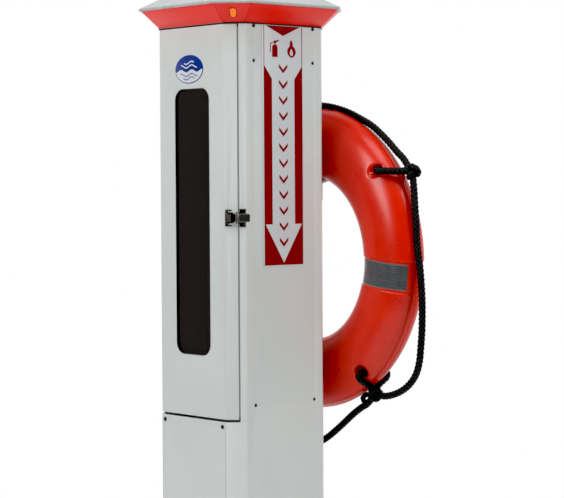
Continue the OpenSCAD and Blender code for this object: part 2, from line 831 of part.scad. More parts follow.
module latch_bail() color("silver") {
    wire = bail_d / 2;
    leg_z = 11.5;
    bar_x = lever_x - lever_nose - wire - 0.6;
    right_chamfer(latch_z) translate([0, -bail_out, 0]) {
        for (z = [-1, 1]) {
            translate([bail_x, 0, z > 0 ? 6.5 : -leg_z]) cylinder(r = wire, h = leg_z - 6.5);
            translate([bail_x, 0, z * leg_z]) rotate([0, 90, 0]) cylinder(r = wire, h = bar_x - bail_x);
            translate([bail_x, 0, z * leg_z]) sphere(wire);
            translate([bar_x, 0, z * leg_z]) sphere(wire);
        }
        translate([bar_x, 0, -leg_z]) cylinder(r = wire, h = 2 * leg_z);
    }
}

module latch_base() color("gray") {
    wall_z = lever_w / 2 + 0.3;
    difference() {
        right_chamfer(latch_z) difference() {
            union() {
                block([base_x0, -latch_plate, -base_h / 2], [base_x1, 0, base_h / 2]);
                for (z = [0, 1]) mirror([0, 0, z]) {
                    block([lever_x, -lever_out - 2.5, wall_z], [lever_x + 9, 0.1 - latch_plate, wall_z + 2]);
                    translate([lever_x, -lever_out, wall_z]) cylinder(r = 2.8, h = 2);
                }
            }
            translate([lever_x, -lever_out, -30]) cylinder(r = latch_pin_r + fit, h = 60);
        }
        latch_screw_places() cylinder(r = 1.3, h = 12, center = true);
    }
}

module latch_screws() color("dimgray") {
    latch_screw_places() translate([0, 0, latch_plate]) pan_screw(2.4, 1.2, latch_plate + post_wall);
}

module latch_pin() color("silver") {
    pin_h = lever_w / 2 + 2.8;
    right_chamfer(latch_z) translate([lever_x, -lever_out, -pin_h])
        cylinder(r = latch_pin_r, h = 2 * pin_h);
}

module latch_lever() color("gray") {
    tail = lever_x + lever_len;
    tip_r = 3;
    side_z = lever_w / 2;
    outer = lever_out + lever_nose;
    right_chamfer(latch_z) difference() {
        union() {
            translate([lever_x, -lever_out, -lever_w / 2]) cylinder(r = lever_nose, h = lever_w);
            block([lever_x, -outer, -lever_w / 2], [lever_x + 12, -lever_out + 2, lever_w / 2]);
            block([lever_x, -outer, -side_z], [tail - tip_r, lever_plate - outer, side_z]);
            block([lever_x, -outer, tip_r - side_z], [tail, lever_plate - outer, side_z - tip_r]);
            for (z = [tip_r - side_z, side_z - tip_r]) translate([tail - tip_r, lever_plate - outer, z])
                rotate([90, 0, 0]) cylinder(r = tip_r, h = lever_plate);
        }
        block([lever_x + 4, lever_plate - outer, 2 - lever_w / 2], [lever_x + 20, 0, lever_w / 2 - 2]);
        translate([lever_x, -lever_out, -30]) cylinder(r = latch_pin_r + fit, h = 60);
    }
}

// ---- life ring ----

// Turns its children so that Z runs back through the ring's centre and X points at the given angle
module ring_frame(angle = 0) {
    translate([0, ring_y, ring_z]) rotate([90, 0, 0]) rotate([0, 0, angle]) children();
}

module tube_section(grow = 0, sides = 32) {
    translate([tube_r, 0]) polygon([for (k = [0 : sides - 1])
        [(tube_a + grow) * cos(k * 360 / sides), (tube_b + grow) * sin(k * 360 / sides)]]);
}

module life_ring() color("orangered") {
    ring_frame() difference() {
        union() {
            rotate_extrude($fn = 96) difference() {
                tube_section();
                tube_section(-ring_wall);
            }
            intersection() {
                rotate_extrude($fn = 96) tube_section();
                for (a = hole_angles) rotate([0, 0, a]) translate([rope_hole_r, 0, -ring_t])
                    cylinder(r = rope_hole_d / 2 + ring_wall, h = 2 * ring_t);
            }
        }
        for (a = hole_angles) rotate([0, 0, a]) translate([rope_hole_r, 0, -ring_t])
            cylinder(r = rope_hole_d / 2, h = 2 * ring_t);
    }
}

module reflective_tapes() color("silver") {
    tape_angle = 13;
    for (k = [0 : 3]) ring_frame(ring_turn + 90 * k - tape_angle / 2)
        rotate_extrude(angle = tape_angle, $fn = 96) difference() {
            tube_section(tape_t + fit);
            tube_section(fit);
        }
}

// One loop of rope through a hole and round the rim
module anchor_loop(direction) {
    r = rope_d / 2;
    rotate([0, 0, direction]) {
        for (x = [0, loop_w]) translate([x, 0, -loop_half]) cylinder(r = r, h = 2 * loop_half);
        for (side = [0, 1]) mirror([0, 0, side]) translate([loop_w / 2, 0, loop_half]) rotate([90, 0, 0])
            rotate_extrude(angle = 180) translate([loop_w / 2, 0]) circle(r);
    }
}

module hole_place(k) {
    a = hole_angles[k];
    ring_frame() translate([rope_hole_r * cos(a), rope_hole_r * sin(a), 0]) children();
}

module anchor_loops() color("black") {
    for (k = [0 : 3]) hole_place(k) anchor_loop(loop_angles[k]);
}

module rope_knots() color("black") {
    for (k = [0 : 3]) hole_place(k) rotate([0, 0, loop_angles[k]]) translate([knot_out, 0, 0])
        sphere(knot_r);
}

module rope_span(route) color("black") {
    translate([0, ring_y, ring_z]) sweep(route, rope_d / 2);
}

// ---- extinguisher ----

module ext_cradle() color("dimgray") {
    translate([ext_x, ext_y, shelf_top]) difference() {
        cylinder(r = ext_r + 5, h = 16);
        translate([0, 0, cradle_t]) cylinder(r = ext_r + 1, h = 20);
        translate([0, 0, -1]) cylinder(r = ext_r - 16, h = 20);
    }
}

// Half profile of the cylinder, moved in by t
module ext_profile(t) {
    foot = 10;
    shoulder = 46;
    polygon(concat(
        [[0, t]],
        [for (k = [0 : 6]) [ext_r - foot + (foot - t) * sin(15 * k), foot - (foot - t) * cos(15 * k)]],
        [for (k = [0 : 8]) [
            neck_r + (ext_r - neck_r - t) * cos(11.25 * k),
            ext_h - 8 - shoulder + (shoulder - t) * sin(11.25 * k)
        ]],
        [[neck_r - t, ext_h - 8 - t], [neck_r - t, ext_h + (t > 0 ? 1 : 0)], [0, ext_h + (t > 0 ? 1 : 0)]]
    ));
}

module ext_cylinder() color("red") {
    translate([ext_x, ext_y, ext_z]) rotate_extrude($fn = 64) difference() {
        ext_profile(0);
        ext_profile(ext_wall);
    }
}

module ext_valve() color("silver") {
    translate([ext_x, ext_y, ext_z + ext_h]) difference() {
        union() {
            translate([0, 0, -10]) cylinder(r = neck_r - ext_wall - 0.2, h = 10);
            cylinder(r = neck_r, h = 5);
            translate([0, 0, 5]) cylinder(r = 11, h = 9);
            block([-18, -7, 8], [12, 7, valve_h]);
            translate([-18, 0, 14]) rotate([0, -90, 0]) cylinder(r = 6, h = 6);
            translate([0, -7, 14]) rotate([90, 0, 0]) cylinder(r = 5, h = gauge_out - 7);
        }
        translate([0, 0, -11]) cylinder(r = 6, h = 12);
        pivot_hole(2.5 + fit);
    }
}

// Cuts along the lever's pivot, from the neck's frame
module pivot_hole(r) {
    translate(lever_pivot - [ext_x, ext_y - 30, ext_z + ext_h]) rotate([90, 0, 0])
        cylinder(r = r, h = 60);
}

module ext_siphon() color("gray") {
    translate([ext_x, ext_y, ext_z + 20]) difference() {
        cylinder(r = 6 - fit, h = ext_h - 20);
        translate([0, 0, -1]) cylinder(r = 4.5, h = ext_h);
    }
}

module ext_gauge() color("gold") {
    translate([ext_x, ext_y - gauge_out, ext_z + ext_h + 14]) rotate([90, 0, 0]) {
        cylinder(r = 17, h = 9);
        translate([0, 0, 9]) cylinder(r1 = 17, r2 = 15, h = 2);
    }
}

module ext_handle() color("silver") {
    ear_t = 2.5;
    translate([ext_x, ext_y, ext_z + ext_h]) difference() {
        union() {
            block([14, -grip_w / 2, 14], [handle_l, grip_w / 2, 17]);
            for (side = [0, 1]) mirror([0, side, 0]) {
                block([14, ear_y, 14], [handle_l, grip_w / 2, 24]);
                block([14, ear_y, 14], [30, ear_y + ear_t, 36]);
                block([-18, ear_y, 26], [30, ear_y + ear_t, 36]);
                block([-18, ear_y, 26], [-6, ear_y + ear_t, 46]);
            }
        }
        pivot_hole(2.5 + fit);
        translate([pull_x, 20, 30]) rotate([90, 0, 0]) cylinder(r = 2 + fit, h = 40);
    }
}

module ext_lever() color("silver") {
    cheek_y = 10;
    cheek_t = 2.4;
    cheek_l = 16;
    lever_l = handle_l + 14;
    edge_y = cheek_y + cheek_t;
    translate(lever_pivot) difference() {
        union() {
            for (side = [0, 1]) mirror([0, side, 0]) {
                block([-6, cheek_y, -6], [cheek_l, edge_y, 13]);
                block([cheek_l - 1, cheek_y, 6], [lever_l, edge_y, 13]);
            }
            block([-6, -edge_y, 11], [lever_l, edge_y, 13]);
        }
        translate([0, 20, 0]) rotate([90, 0, 0]) cylinder(r = 2.5 + fit, h = 40);
    }
}

module ext_lever_pin() color("gray") {
    translate(lever_pivot + [0, 13, 0]) rotate([90, 0, 0]) cylinder(r = 2.5, h = 26);
}

module ext_safety_pin() color("silver") {
    pull_r = 12;
    translate([ext_x + pull_x, ext_y, ext_z + ext_h + 30]) {
        translate([0, 14, 0]) rotate([90, 0, 0]) cylinder(r = 2, h = 34);
        translate([0, -20 - pull_r, 0]) rotate([0, 90, 0]) rotate_extrude() translate([pull_r, 0])
            circle(1.5);
    }
}

module ext_hose() color("black") {
    r = hose_d / 2;
    z_out = ext_z + ext_h + 14;
    bend = ext_x - 24 - hose_x;
    drop = 210;
    translate([ext_x - 24, ext_y, z_out - bend]) rotate([90, 0, 0]) rotate([0, 0, 90])
        rotate_extrude(angle = 90) translate([bend, 0]) circle(r);
    translate([hose_x, ext_y, z_out - bend - drop]) cylinder(r = r, h = drop);
    translate([hose_x, ext_y, z_out - bend - drop - 60]) cylinder(r1 = r + 3, r2 = r, h = 60);
}

base_flange();
post_shell();
door_frame();
door_seal();
panel_frame();
lower_panel();
panel_screws();
cabinet_shelf();
top_bulkhead();
cap_tabs();
cap_screws();
side_rivets();
collar_gasket();
collar_band();
roof_cap();
lamp_holder();
lamp_lens();
lamp_board();
driver_box();
conduit();
cable_gland();
sign_plate();
ring_bracket();
ring_pegs();
peg_caps();
bracket_bolts();
ext_cradle();
hinge_post_leaf();
hinge_pin();
hinge_door_leaf();
door_skin();
window_gasket();
window_pane();
window_retainer();
retainer_nuts();
door_badge();
latch_keeper();
keeper_screws();
latch_bail();
latch_base();
latch_screws();
latch_pin();
latch_lever();
life_ring();
reflective_tapes();
anchor_loops();
rope_knots();
rope_span(top_route);  // rope_top
rope_span(right_route);  // rope_right
rope_span(bottom_route);  // rope_bottom
rope_span(left_route);  // rope_left
ext_cylinder();
ext_valve();
ext_siphon();
ext_gauge();
ext_handle();
ext_lever();
ext_lever_pin();
ext_safety_pin();
ext_hose();
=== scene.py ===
import json
import math

import bmesh
import bpy
import numpy as np
from mathutils import Matrix, Quaternion, Vector


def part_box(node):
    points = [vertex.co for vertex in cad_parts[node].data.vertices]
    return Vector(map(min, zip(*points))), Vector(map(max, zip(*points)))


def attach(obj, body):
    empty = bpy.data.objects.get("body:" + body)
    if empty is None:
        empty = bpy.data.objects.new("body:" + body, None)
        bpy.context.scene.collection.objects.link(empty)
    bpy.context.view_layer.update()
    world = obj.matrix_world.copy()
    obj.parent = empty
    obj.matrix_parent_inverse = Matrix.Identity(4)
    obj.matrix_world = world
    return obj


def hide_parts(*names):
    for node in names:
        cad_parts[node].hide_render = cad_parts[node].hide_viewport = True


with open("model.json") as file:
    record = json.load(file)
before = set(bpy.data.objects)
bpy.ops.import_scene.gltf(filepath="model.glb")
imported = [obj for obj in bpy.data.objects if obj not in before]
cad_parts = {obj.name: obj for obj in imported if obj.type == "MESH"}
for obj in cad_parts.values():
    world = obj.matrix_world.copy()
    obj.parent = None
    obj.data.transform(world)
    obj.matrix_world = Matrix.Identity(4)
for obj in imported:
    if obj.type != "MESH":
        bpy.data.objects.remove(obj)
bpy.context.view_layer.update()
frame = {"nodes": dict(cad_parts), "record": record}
scene = bpy.context.scene
scene.view_settings.view_transform = "Standard"
scene.view_settings.use_curve_mapping = True
scene.view_settings.curve_mapping.black_level = (0.015, 0.015, 0.015)
mm = 0.001
record = frame["record"]
bodyOf = {node: body for body, nodes in record["behaviour"]["bodies"].items() for node in nodes}
slotOf = {part["node"]: part["material_slot"] for part in record["subparts"]}
print("frame loaded:", len(frame["nodes"]), "nodes")

viewpoint = {
    "aim": (0.0526, 0.0593, 0.8289),
    "distance": 3.838,
    "azimuth": 48.41,
    "height": 1.97,
    "roll": -0.33,
    "lens": 123.4,
}


def directionAt(turn, height):
    # a level direction from the front round to the right, then raised; both in degrees
    turn, height = math.radians(turn), math.radians(height)
    level = math.cos(height)
    return Vector((math.sin(turn) * level, -math.cos(turn) * level, math.sin(height)))


def makeCamera(values):
    back = directionAt(values["azimuth"], values["height"])
    data = bpy.data.cameras.new("studioCamera")
    data.lens = values["lens"]
    data.sensor_width = 36
    camera = bpy.data.objects.new("studioCamera", data)
    camera.location = Vector(values["aim"]) + back * values["distance"]
    camera.rotation_mode = "QUATERNION"
    roll = Quaternion((0, 0, 1), math.radians(values["roll"]))
    camera.rotation_quaternion = (-back).to_track_quat("-Z", "Y") @ roll
    scene.collection.objects.link(camera)
    scene.camera = camera


makeCamera(viewpoint)


def linear(hexColour, alpha=1.0):
    channels = [int(hexColour[i : i + 2], 16) / 255 for i in (1, 3, 5)]
    return (*[c / 12.92 if c <= 0.04045 else ((c + 0.055) / 1.055) ** 2.4 for c in channels], alpha)


def perMm(size):
    return 1 / (size * mm)  # a texture's scale for a pattern of this many millimetres


def addNode(tree, kind, settings=None, values=None, links=None):
    node = tree.nodes.new(kind)
    for name, value in (settings or {}).items():
        setattr(node, name, value)
    for key, value in (values or {}).items():
        node.inputs[key].default_value = value
    for key, source in (links or {}).items():
        tree.links.new(source, node.inputs[key])
    return node


def startMaterial(name, values):
    material = bpy.data.materials.new(name)
    material.use_nodes = True
    tree = material.node_tree
    tree.nodes.clear()
    shader = addNode(tree, "ShaderNodeBsdfPrincipled", values=values)
    addNode(tree, "ShaderNodeOutputMaterial", links={"Surface": shader.outputs["BSDF"]})
    place = addNode(tree, "ShaderNodeTexCoord").outputs["Object"]
    return material, tree, shader, place


def rampColour(tree, shader, source, stops):
    # a ramp from a texture's value to the base colour; stops are (place, hex colour)
    ramp = addNode(tree, "ShaderNodeValToRGB", links={"Fac": source})
    elements = ramp.color_ramp.elements
    elements[0].position, elements[0].color = stops[0][0], linear(stops[0][1])
    elements[1].position, elements[1].color = stops[-1][0], linear(stops[-1][1])
    for position, colour in stops[1:-1]:
        elements.new(position).color = linear(colour)
    tree.links.new(ramp.outputs["Color"], shader.inputs["Base Color"])
    return ramp


def roughen(tree, shader, source, low, high):
    spread = addNode(
        tree, "ShaderNodeMapRange", values={"To Min": low, "To Max": high}, links={"Value": source}
    )
    tree.links.new(spread.outputs["Result"], shader.inputs["Roughness"])


def raiseBy(tree, shader, source, depth, strength=1.0):
    # bump of this depth in millimetres
    bump = addNode(
        tree, "ShaderNodeBump", values={"Distance": depth * mm, "Strength": strength}, links={"Height": source}
    )
    tree.links.new(bump.outputs["Normal"], shader.inputs["Normal"])
    return bump


def powderCoat(name, light, shade, gloss):
    # polyester powder baked on aluminium: an even semi-gloss film with a fine orange peel
    material, tree, shader, place = startMaterial(
        name, {"IOR": 1.5, "Coat Weight": 0.15, "Coat Roughness": 0.25}
    )
    film = addNode(
        tree, "ShaderNodeTexNoise", values={"Scale": perMm(180), "Detail": 3, "Roughness": 0.6},
        links={"Vector": place},
    )
    rampColour(tree, shader, film.outputs["Fac"], [(0.35, shade), (0.65, light)])
    # the peel is drawn at 2.5 mm, twice its real pitch, so that it shows
    peel = addNode(
        tree, "ShaderNodeTexNoise", values={"Scale": perMm(2.5), "Detail": 2, "Roughness": 0.5},
        links={"Vector": place},
    )
    roughen(tree, shader, peel.outputs["Fac"], gloss - 0.06, gloss + 0.06)
    raiseBy(tree, shader, peel.outputs["Fac"], 0.05, 0.6)
    return material


def unevenSkin(name, values, size, detail, spread, stops, rough):
    # a material whose colour and gloss drift together over patches of this many millimetres
    material, tree, shader, place = startMaterial(name, values)
    patches = addNode(
        tree, "ShaderNodeTexNoise", values={"Scale": perMm(size), "Detail": detail, "Roughness": spread},
        links={"Vector": place},
    ).outputs["Fac"]
    rampColour(tree, shader, patches, stops)
    roughen(tree, shader, patches, *rough)
    return material, tree, shader, place, patches


def glossMoulding(name, light, shade, gloss, waveSize, waveDepth):
    # moulded or thermoformed plastic with a polished skin: long soft waves and a few dull patches
    stops, rough = [(0.3, shade), (0.7, light)], (gloss - 0.04, gloss + 0.06)
    material, tree, shader, place, _ = unevenSkin(name, {"IOR": 1.52}, 90, 4, 0.6, stops, rough)
    wave = addNode(
        tree, "ShaderNodeTexNoise", values={"Scale": perMm(waveSize), "Detail": 1}, links={"Vector": place}
    )
    raiseBy(tree, shader, wave.outputs["Fac"], waveDepth, 0.5)
    return material


def ringPolyethylene(name):
    # rotationally moulded polyethylene, coloured all through: waxy, with shallow shrink waves and pinholes
    waxy = {
        "IOR": 1.51, "Subsurface Weight": 0.06, "Subsurface Radius": (0.01, 0.003, 0.001),
        "Subsurface Scale": 0.2,
    }
    stops = [(0.3, "#D21E02"), (0.7, "#DD2905")]
    material, tree, shader, place, _ = unevenSkin(name, waxy, 60, 5, 0.6, stops, (0.24, 0.34))
    bumps = []
    for size, detail, depth, strength in ((45, 1, 0.5, 0.5), (1.6, 2, 0.03, 0.4)):
        noise = addNode(
            tree, "ShaderNodeTexNoise", values={"Scale": perMm(size), "Detail": detail},
            links={"Vector": place},
        )
        bumps.append(raiseBy(tree, shader, noise.outputs["Fac"], depth, strength))
    tree.links.new(bumps[0].outputs["Normal"], bumps[1].inputs["Normal"])
    return material


def braidedPolypropylene(name):
    # black multifilament polypropylene braid: dull in its hollows, a dry shine along the crowns of the
    # strands; its colour is painted darker in the hollows as painted shade and paler on the crowns as painted
    # highlight
    material, tree, shader, place = startMaterial(
        name, {"IOR": 1.49, "Specular IOR Level": 0.3, "Sheen Weight": 0.03, "Sheen Roughness": 0.4}
    )
    crown = addNode(tree, "ShaderNodeAttribute", settings={"attribute_name": "strandHeight"}).outputs["Fac"]
    # painted shade and painted highlight: the strand height darkens the colour in the hollows and lightens it
    # on the crowns
    rampColour(tree, shader, crown, [(0.2, "#020202"), (0.75, "#0A0A0B"), (1.0, "#19191B")])
    roughen(tree, shader, crown, 0.8, 0.42)
    filament = addNode(
        tree, "ShaderNodeTexNoise", values={"Scale": perMm(0.9), "Detail": 2}, links={"Vector": place}
    )
    raiseBy(tree, shader, filament.outputs["Fac"], 0.25, 0.6)
    return material


def prismaticTape(name, light, shade):
    # clear-topped prismatic tape: grey squares with paler welds, half mirror and half haze
    clear = {"IOR": 1.55, "Metallic": 0.35, "Coat Weight": 0.6, "Coat Roughness": 0.08}
    return unevenSkin(name, clear, 14, 3, 0.7, [(0.3, shade), (0.7, light)], (0.28, 0.42))[0]


def turnedMetal(name, light, shade, rough, grain, metallic=1.0):
    # rolled or turned metal: fine parallel grain that stretches along its height
    material, tree, shader, place = startMaterial(name, {"Metallic": metallic})
    fine, long = perMm(grain), perMm(grain * 25)
    stretched = addNode(
        tree, "ShaderNodeMapping", values={"Scale": (fine, fine, long)}, links={"Vector": place}
    )
    brushed = addNode(
        tree, "ShaderNodeTexNoise", values={"Scale": 1.0, "Detail": 3, "Roughness": 0.6},
        links={"Vector": stretched.outputs["Vector"]},
    )
    rampColour(tree, shader, brushed.outputs["Fac"], [(0.3, shade), (0.7, light)])
    roughen(tree, shader, brushed.outputs["Fac"], rough - 0.07, rough + 0.1)
    raiseBy(tree, shader, brushed.outputs["Fac"], 0.02, 0.4)
    return material


def edgeHighlightLatchSteel(name):
    # blackened spring steel with a few random scuffs; its colour is painted bright along its edges and
    # corners, a painted highlight
    material, tree, shader, place = startMaterial(name, {"Metallic": 1.0})
    edge = addNode(tree, "ShaderNodeNewGeometry").outputs["Pointiness"]
    scuff = addNode(
        tree, "ShaderNodeTexNoise", values={"Scale": perMm(3), "Detail": 5, "Roughness": 0.7},
        links={"Vector": place},
    )
    # pointiness plus a little scuff noise: the bright colour on convex edges and corners is a painted
    # highlight, not worn metal
    scuffAndEdgeHighlight = addNode(
        tree, "ShaderNodeMath", settings={"operation": "MULTIPLY_ADD"},
        values={1: 0.12}, links={0: scuff.outputs["Fac"], 2: edge},
    )
    rampColour(tree, shader, scuffAndEdgeHighlight.outputs["Value"], [(0.54, "#171411"), (0.62, "#2B2723"), (0.7, "#9A938B")])
    roughen(tree, shader, scuff.outputs["Fac"], 0.22, 0.42)
    raiseBy(tree, shader, scuff.outputs["Fac"], 0.04, 0.4)
    return material


def mouldedRubber(name, colour="#101010", bloomColour="#1E1E1F"):
    # extruded EPDM: matt, with a faint bloom
    stops = [(0.35, colour), (0.75, bloomColour)]
    material, tree, shader, _, bloom = unevenSkin(
        name, {"IOR": 1.5, "Sheen Weight": 0.1}, 12, 5, 0.7, stops, (0.6, 0.8)
    )
    raiseBy(tree, shader, bloom, 0.05, 0.3)
    return material


def smokedAcrylic(name):
    # 3 mm cast acrylic, smoked nearly black: mirror-flat skin and little light through it
    material, tree, shader, place = startMaterial(
        name, {"IOR": 1.49, "Transmission Weight": 0.92, "Roughness": 0.03, "Base Color": linear("#6E6462")}
    )
    flow = addNode(
        tree, "ShaderNodeTexNoise", values={"Scale": perMm(160), "Detail": 1}, links={"Vector": place}
    )
    raiseBy(tree, shader, flow.outputs["Fac"], 0.35, 0.4)
    return material


def tintedLens(name, colour, glow):
    # moulded acrylic lens over a lit board: deep colour with a soft glow
    material, tree, shader, place = startMaterial(
        name,
        {
            "IOR": 1.49, "Transmission Weight": 0.35, "Roughness": 0.12,
            "Emission Color": linear(colour), "Emission Strength": glow,
        },
    )
    prism = addNode(
        tree, "ShaderNodeTexWave", settings={"bands_direction": "Z"}, values={"Scale": perMm(3) / 6},
        links={"Vector": place},
    )
    rampColour(tree, shader, prism.outputs["Fac"], [(0.2, "#E85A06"), (0.8, colour)])
    raiseBy(tree, shader, prism.outputs["Fac"], 0.2, 0.4)
    return material


def printedVinyl(name, colour, shade, gloss=0.32):
    # screen-printed vinyl: flat ink with a faint waviness from its adhesive
    stops, rough = [(0.3, shade), (0.7, colour)], (gloss - 0.04, gloss + 0.06)
    material, tree, shader, _, ink = unevenSkin(name, {"IOR": 1.42}, 35, 4, 0.6, stops, rough)
    raiseBy(tree, shader, ink, 0.08, 0.3)
    return material


finishes = {
    "white_powder_coat": powderCoat("powderCoatWhite", "#D2D6D4", "#CDD2D0", 0.42),
    "plain_aluminium": turnedMetal("millAluminium", "#BFC1C3", "#A3A6A9", 0.38, 0.6),
    "black_rubber": mouldedRubber("epdmRubber"),
    "dark_steel": turnedMetal("blackOxideSteel", "#4A4845", "#2A2928", 0.34, 0.4),
    "orange_gloss_plastic": glossMoulding("collarSheetOrange", "#F6230E", "#F11F0C", 0.3, 120, 0.3),
    "white_gloss_plastic": glossMoulding("roofGelcoatWhite", "#B4B8B8", "#AEB2B3", 0.26, 80, 0.4),
    "lamp_red_plastic": glossMoulding("lampHousingRed", "#8E1408", "#7A0F06", 0.3, 20, 0.1),
    "amber_lens": tintedLens("amberLens", "#FF8A10", 0.35),
    "green_board": printedVinyl("circuitBoardGreen", "#17663A", "#0F4A28", 0.4),
    "grey_plastic": glossMoulding("conduitGreyPvc", "#8C9094", "#7C8084", 0.45, 40, 0.2),
    "sign_vinyl": printedVinyl("signWhiteVinyl", "#CED2D4", "#C8CDCF"),
    "stainless_steel": turnedMetal("stainlessSteel", "#C9C6C1", "#A9A6A2", 0.3, 0.5),
    "smoked_acrylic": smokedAcrylic("smokedAcrylic"),
    "badge_plastic": printedVinyl("badgeBlue", "#1D3E9B", "#17347F", 0.2),
    "ring_polyethylene": ringPolyethylene("ringPolyethylene"),
    "reflective_tape": prismaticTape("prismaticTape", "#55585B", "#3C3F43"),
    "black_braid": braidedPolypropylene("braidedPolypropylene"),
    "extinguisher_red": glossMoulding("cylinderRedEnamel", "#B3120C", "#A50E09", 0.2, 60, 0.1),
    "brass_valve": turnedMetal("turnedBrass", "#D9B36A", "#B98F48", 0.28, 0.4),
}
signRed = printedVinyl("signRedInk", "#8C0207", "#840104")
badgeWhite = printedVinyl("badgeWhite", "#D8DCDF", "#CFD4D8", 0.22)
latchSteel = edgeHighlightLatchSteel("edgeHighlightLatchSteel")
leverSteel = turnedMetal("latchLeverSteel", "#A8A29B", "#6E6963", 0.3, 0.5)
wireSteel = turnedMetal("bailWireChrome", "#D2CEC8", "#A6A19A", 0.16, 0.8)
sealGrey = mouldedRubber("doorSealGrey", "#9DA3A1", "#A6ABA9")
leverInlay = mouldedRubber("leverInlayBlack", "#0B0B0C", "#151516")
tapeWeld = prismaticTape("tapeWelds", "#77797B", "#6A6D70")
# a near-black sheet behind the collar's seams: painted shade
seamShadow = mouldedRubber("seamPaintedShade", "#2A0B08")
print("materials:", len(bpy.data.materials))

for nodeName, nodeObject in frame["nodes"].items():
    nodeObject.data.materials.clear()
    nodeObject.data.materials.append(finishes[slotOf[nodeName]])
nodeFinish = {
    "latch_keeper": latchSteel,
    "latch_base": latchSteel,
    "latch_pin": latchSteel,
    "latch_lever": leverSteel,
    "latch_bail": wireSteel,
    "door_seal": sealGrey,
    "side_rivets": finishes["dark_steel"],
}
for nodeName, finish in nodeFinish.items():
    frame["nodes"][nodeName].data.materials[0] = finish


def placePiece(name, mesh, material, body, replaced=(), sharpAngle=35):
    # one finished piece: its material, its smooth shading, the body it rides on and what it stands for
    mesh.materials.clear()
    mesh.materials.append(material)
    mesh.shade_smooth()
    mesh.set_sharp_from_angle(angle=math.radians(sharpAngle))
    piece = bpy.data.objects.new(name, mesh)
    scene.collection.objects.link(piece)
    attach(piece, body)
    if replaced:
        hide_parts(*replaced)
    return piece


def meshFrom(name, points, faces):
    mesh = bpy.data.meshes.new(name)
    mesh.from_pydata([tuple(p) for p in points], [], faces)
    mesh.validate()
    mesh.update()
    return mesh


def faceOut(mesh):
    shape = bmesh.new()
    shape.from_mesh(mesh)
    bmesh.ops.recalc_face_normals(shape, faces=shape.faces)
    shape.to_mesh(mesh)
    shape.free()
    return mesh


def evaluatedMesh(holder):
    # what an object's curve settings or modifiers make, as a plain mesh; the object itself goes
    bpy.context.view_layer.update()
    mesh = bpy.data.meshes.new_from_object(holder.evaluated_get(bpy.context.evaluated_depsgraph_get()))
    holder.modifiers.clear()
    bpy.data.objects.remove(holder)
    return mesh


def softened(node, width, segments=2, sharpest=30):
    # a CAD part's own shape with its edges broken by a small round, in millimetres
    shape = bmesh.new()
    shape.from_mesh(frame["nodes"][node].data)
    bmesh.ops.remove_doubles(shape, verts=shape.verts, dist=0.002 * mm)
    bmesh.ops.dissolve_limit(shape, angle_limit=math.radians(0.5), verts=shape.verts, edges=shape.edges)
    limit = math.radians(sharpest)
    edges = [e for e in shape.edges if e.is_manifold and e.calc_face_angle(0) > limit]
    bmesh.ops.bevel(
        shape, geom=edges, offset=width * mm, offset_type="OFFSET", segments=segments, profile=0.5,
        affect="EDGES", clamp_overlap=True,
    )
    bmesh.ops.triangulate(shape, faces=[f for f in shape.faces if len(f.verts) > 4])
    mesh = bpy.data.meshes.new(node + "_soft")
    shape.to_mesh(mesh)
    shape.free()
    finish = nodeFinish.get(node) or finishes[slotOf[node]]
    return placePiece(node + "_soft", mesh, finish, bodyOf[node], [node])


def flatPlate(outlines, thickness, edge=0.0):
    # a plate filled between closed outlines in its own XY plane, in millimetres, its top face at Z = 0
    curve = bpy.data.curves.new("plateOutline", "CURVE")
    curve.dimensions, curve.fill_mode = "2D", "BOTH"
    for outline in outlines:
        spline = curve.splines.new("POLY")
        spline.points.add(len(outline) - 1)
        for point, (x, y) in zip(spline.points, outline):
            point.co = (x * mm, y * mm, 0, 1)
        spline.use_cyclic_u = True
    curve.extrude = (thickness / 2 - edge) * mm
    curve.bevel_depth, curve.bevel_resolution, curve.offset = edge * mm, 1, -edge * mm
    holder = bpy.data.objects.new("plateOutline", curve)
    scene.collection.objects.link(holder)
    mesh = evaluatedMesh(holder)
    bpy.data.curves.remove(curve)
    shape = bmesh.new()
    shape.from_mesh(mesh)
    bmesh.ops.remove_doubles(shape, verts=shape.verts, dist=0.005 * mm)
    bmesh.ops.recalc_face_normals(shape, faces=shape.faces)
    bmesh.ops.translate(shape, verts=shape.verts, vec=(0, 0, -thickness / 2 * mm))
    shape.to_mesh(mesh)
    shape.free()
    return mesh


def joinMeshes(name, parts):
    # several meshes, each with its own place, as one
    shape = bmesh.new()
    for mesh, place in parts:
        copy = mesh.copy()
        copy.transform(place)
        shape.from_mesh(copy)
        bpy.data.meshes.remove(copy)
    joined = bpy.data.meshes.new(name)
    shape.to_mesh(joined)
    shape.free()
    return joined


def outward(origin, out, up):
    # places a plate made in XY: its Z faces out and its Y points up
    z, y = Vector(out).normalized(), Vector(up).normalized()
    x = y.cross(z)
    return Matrix.Translation(Vector(origin)) @ Matrix((x, y, z)).transposed().to_4x4()


def capsuleOutline(width, length, count=10):
    # length along X
    straight, radius = (length - width) / 2, width / 2
    angles = [math.pi * (k / count - 0.5) for k in range(count + 1)]
    right = [(straight + radius * math.cos(a), radius * math.sin(a)) for a in angles]
    return right + [(-x, -y) for x, y in right]


def ovalOutline(width, height, count=64):
    return [
        (width / 2 * math.cos(2 * math.pi * k / count), height / 2 * math.sin(2 * math.pi * k / count))
        for k in range(count)
    ]


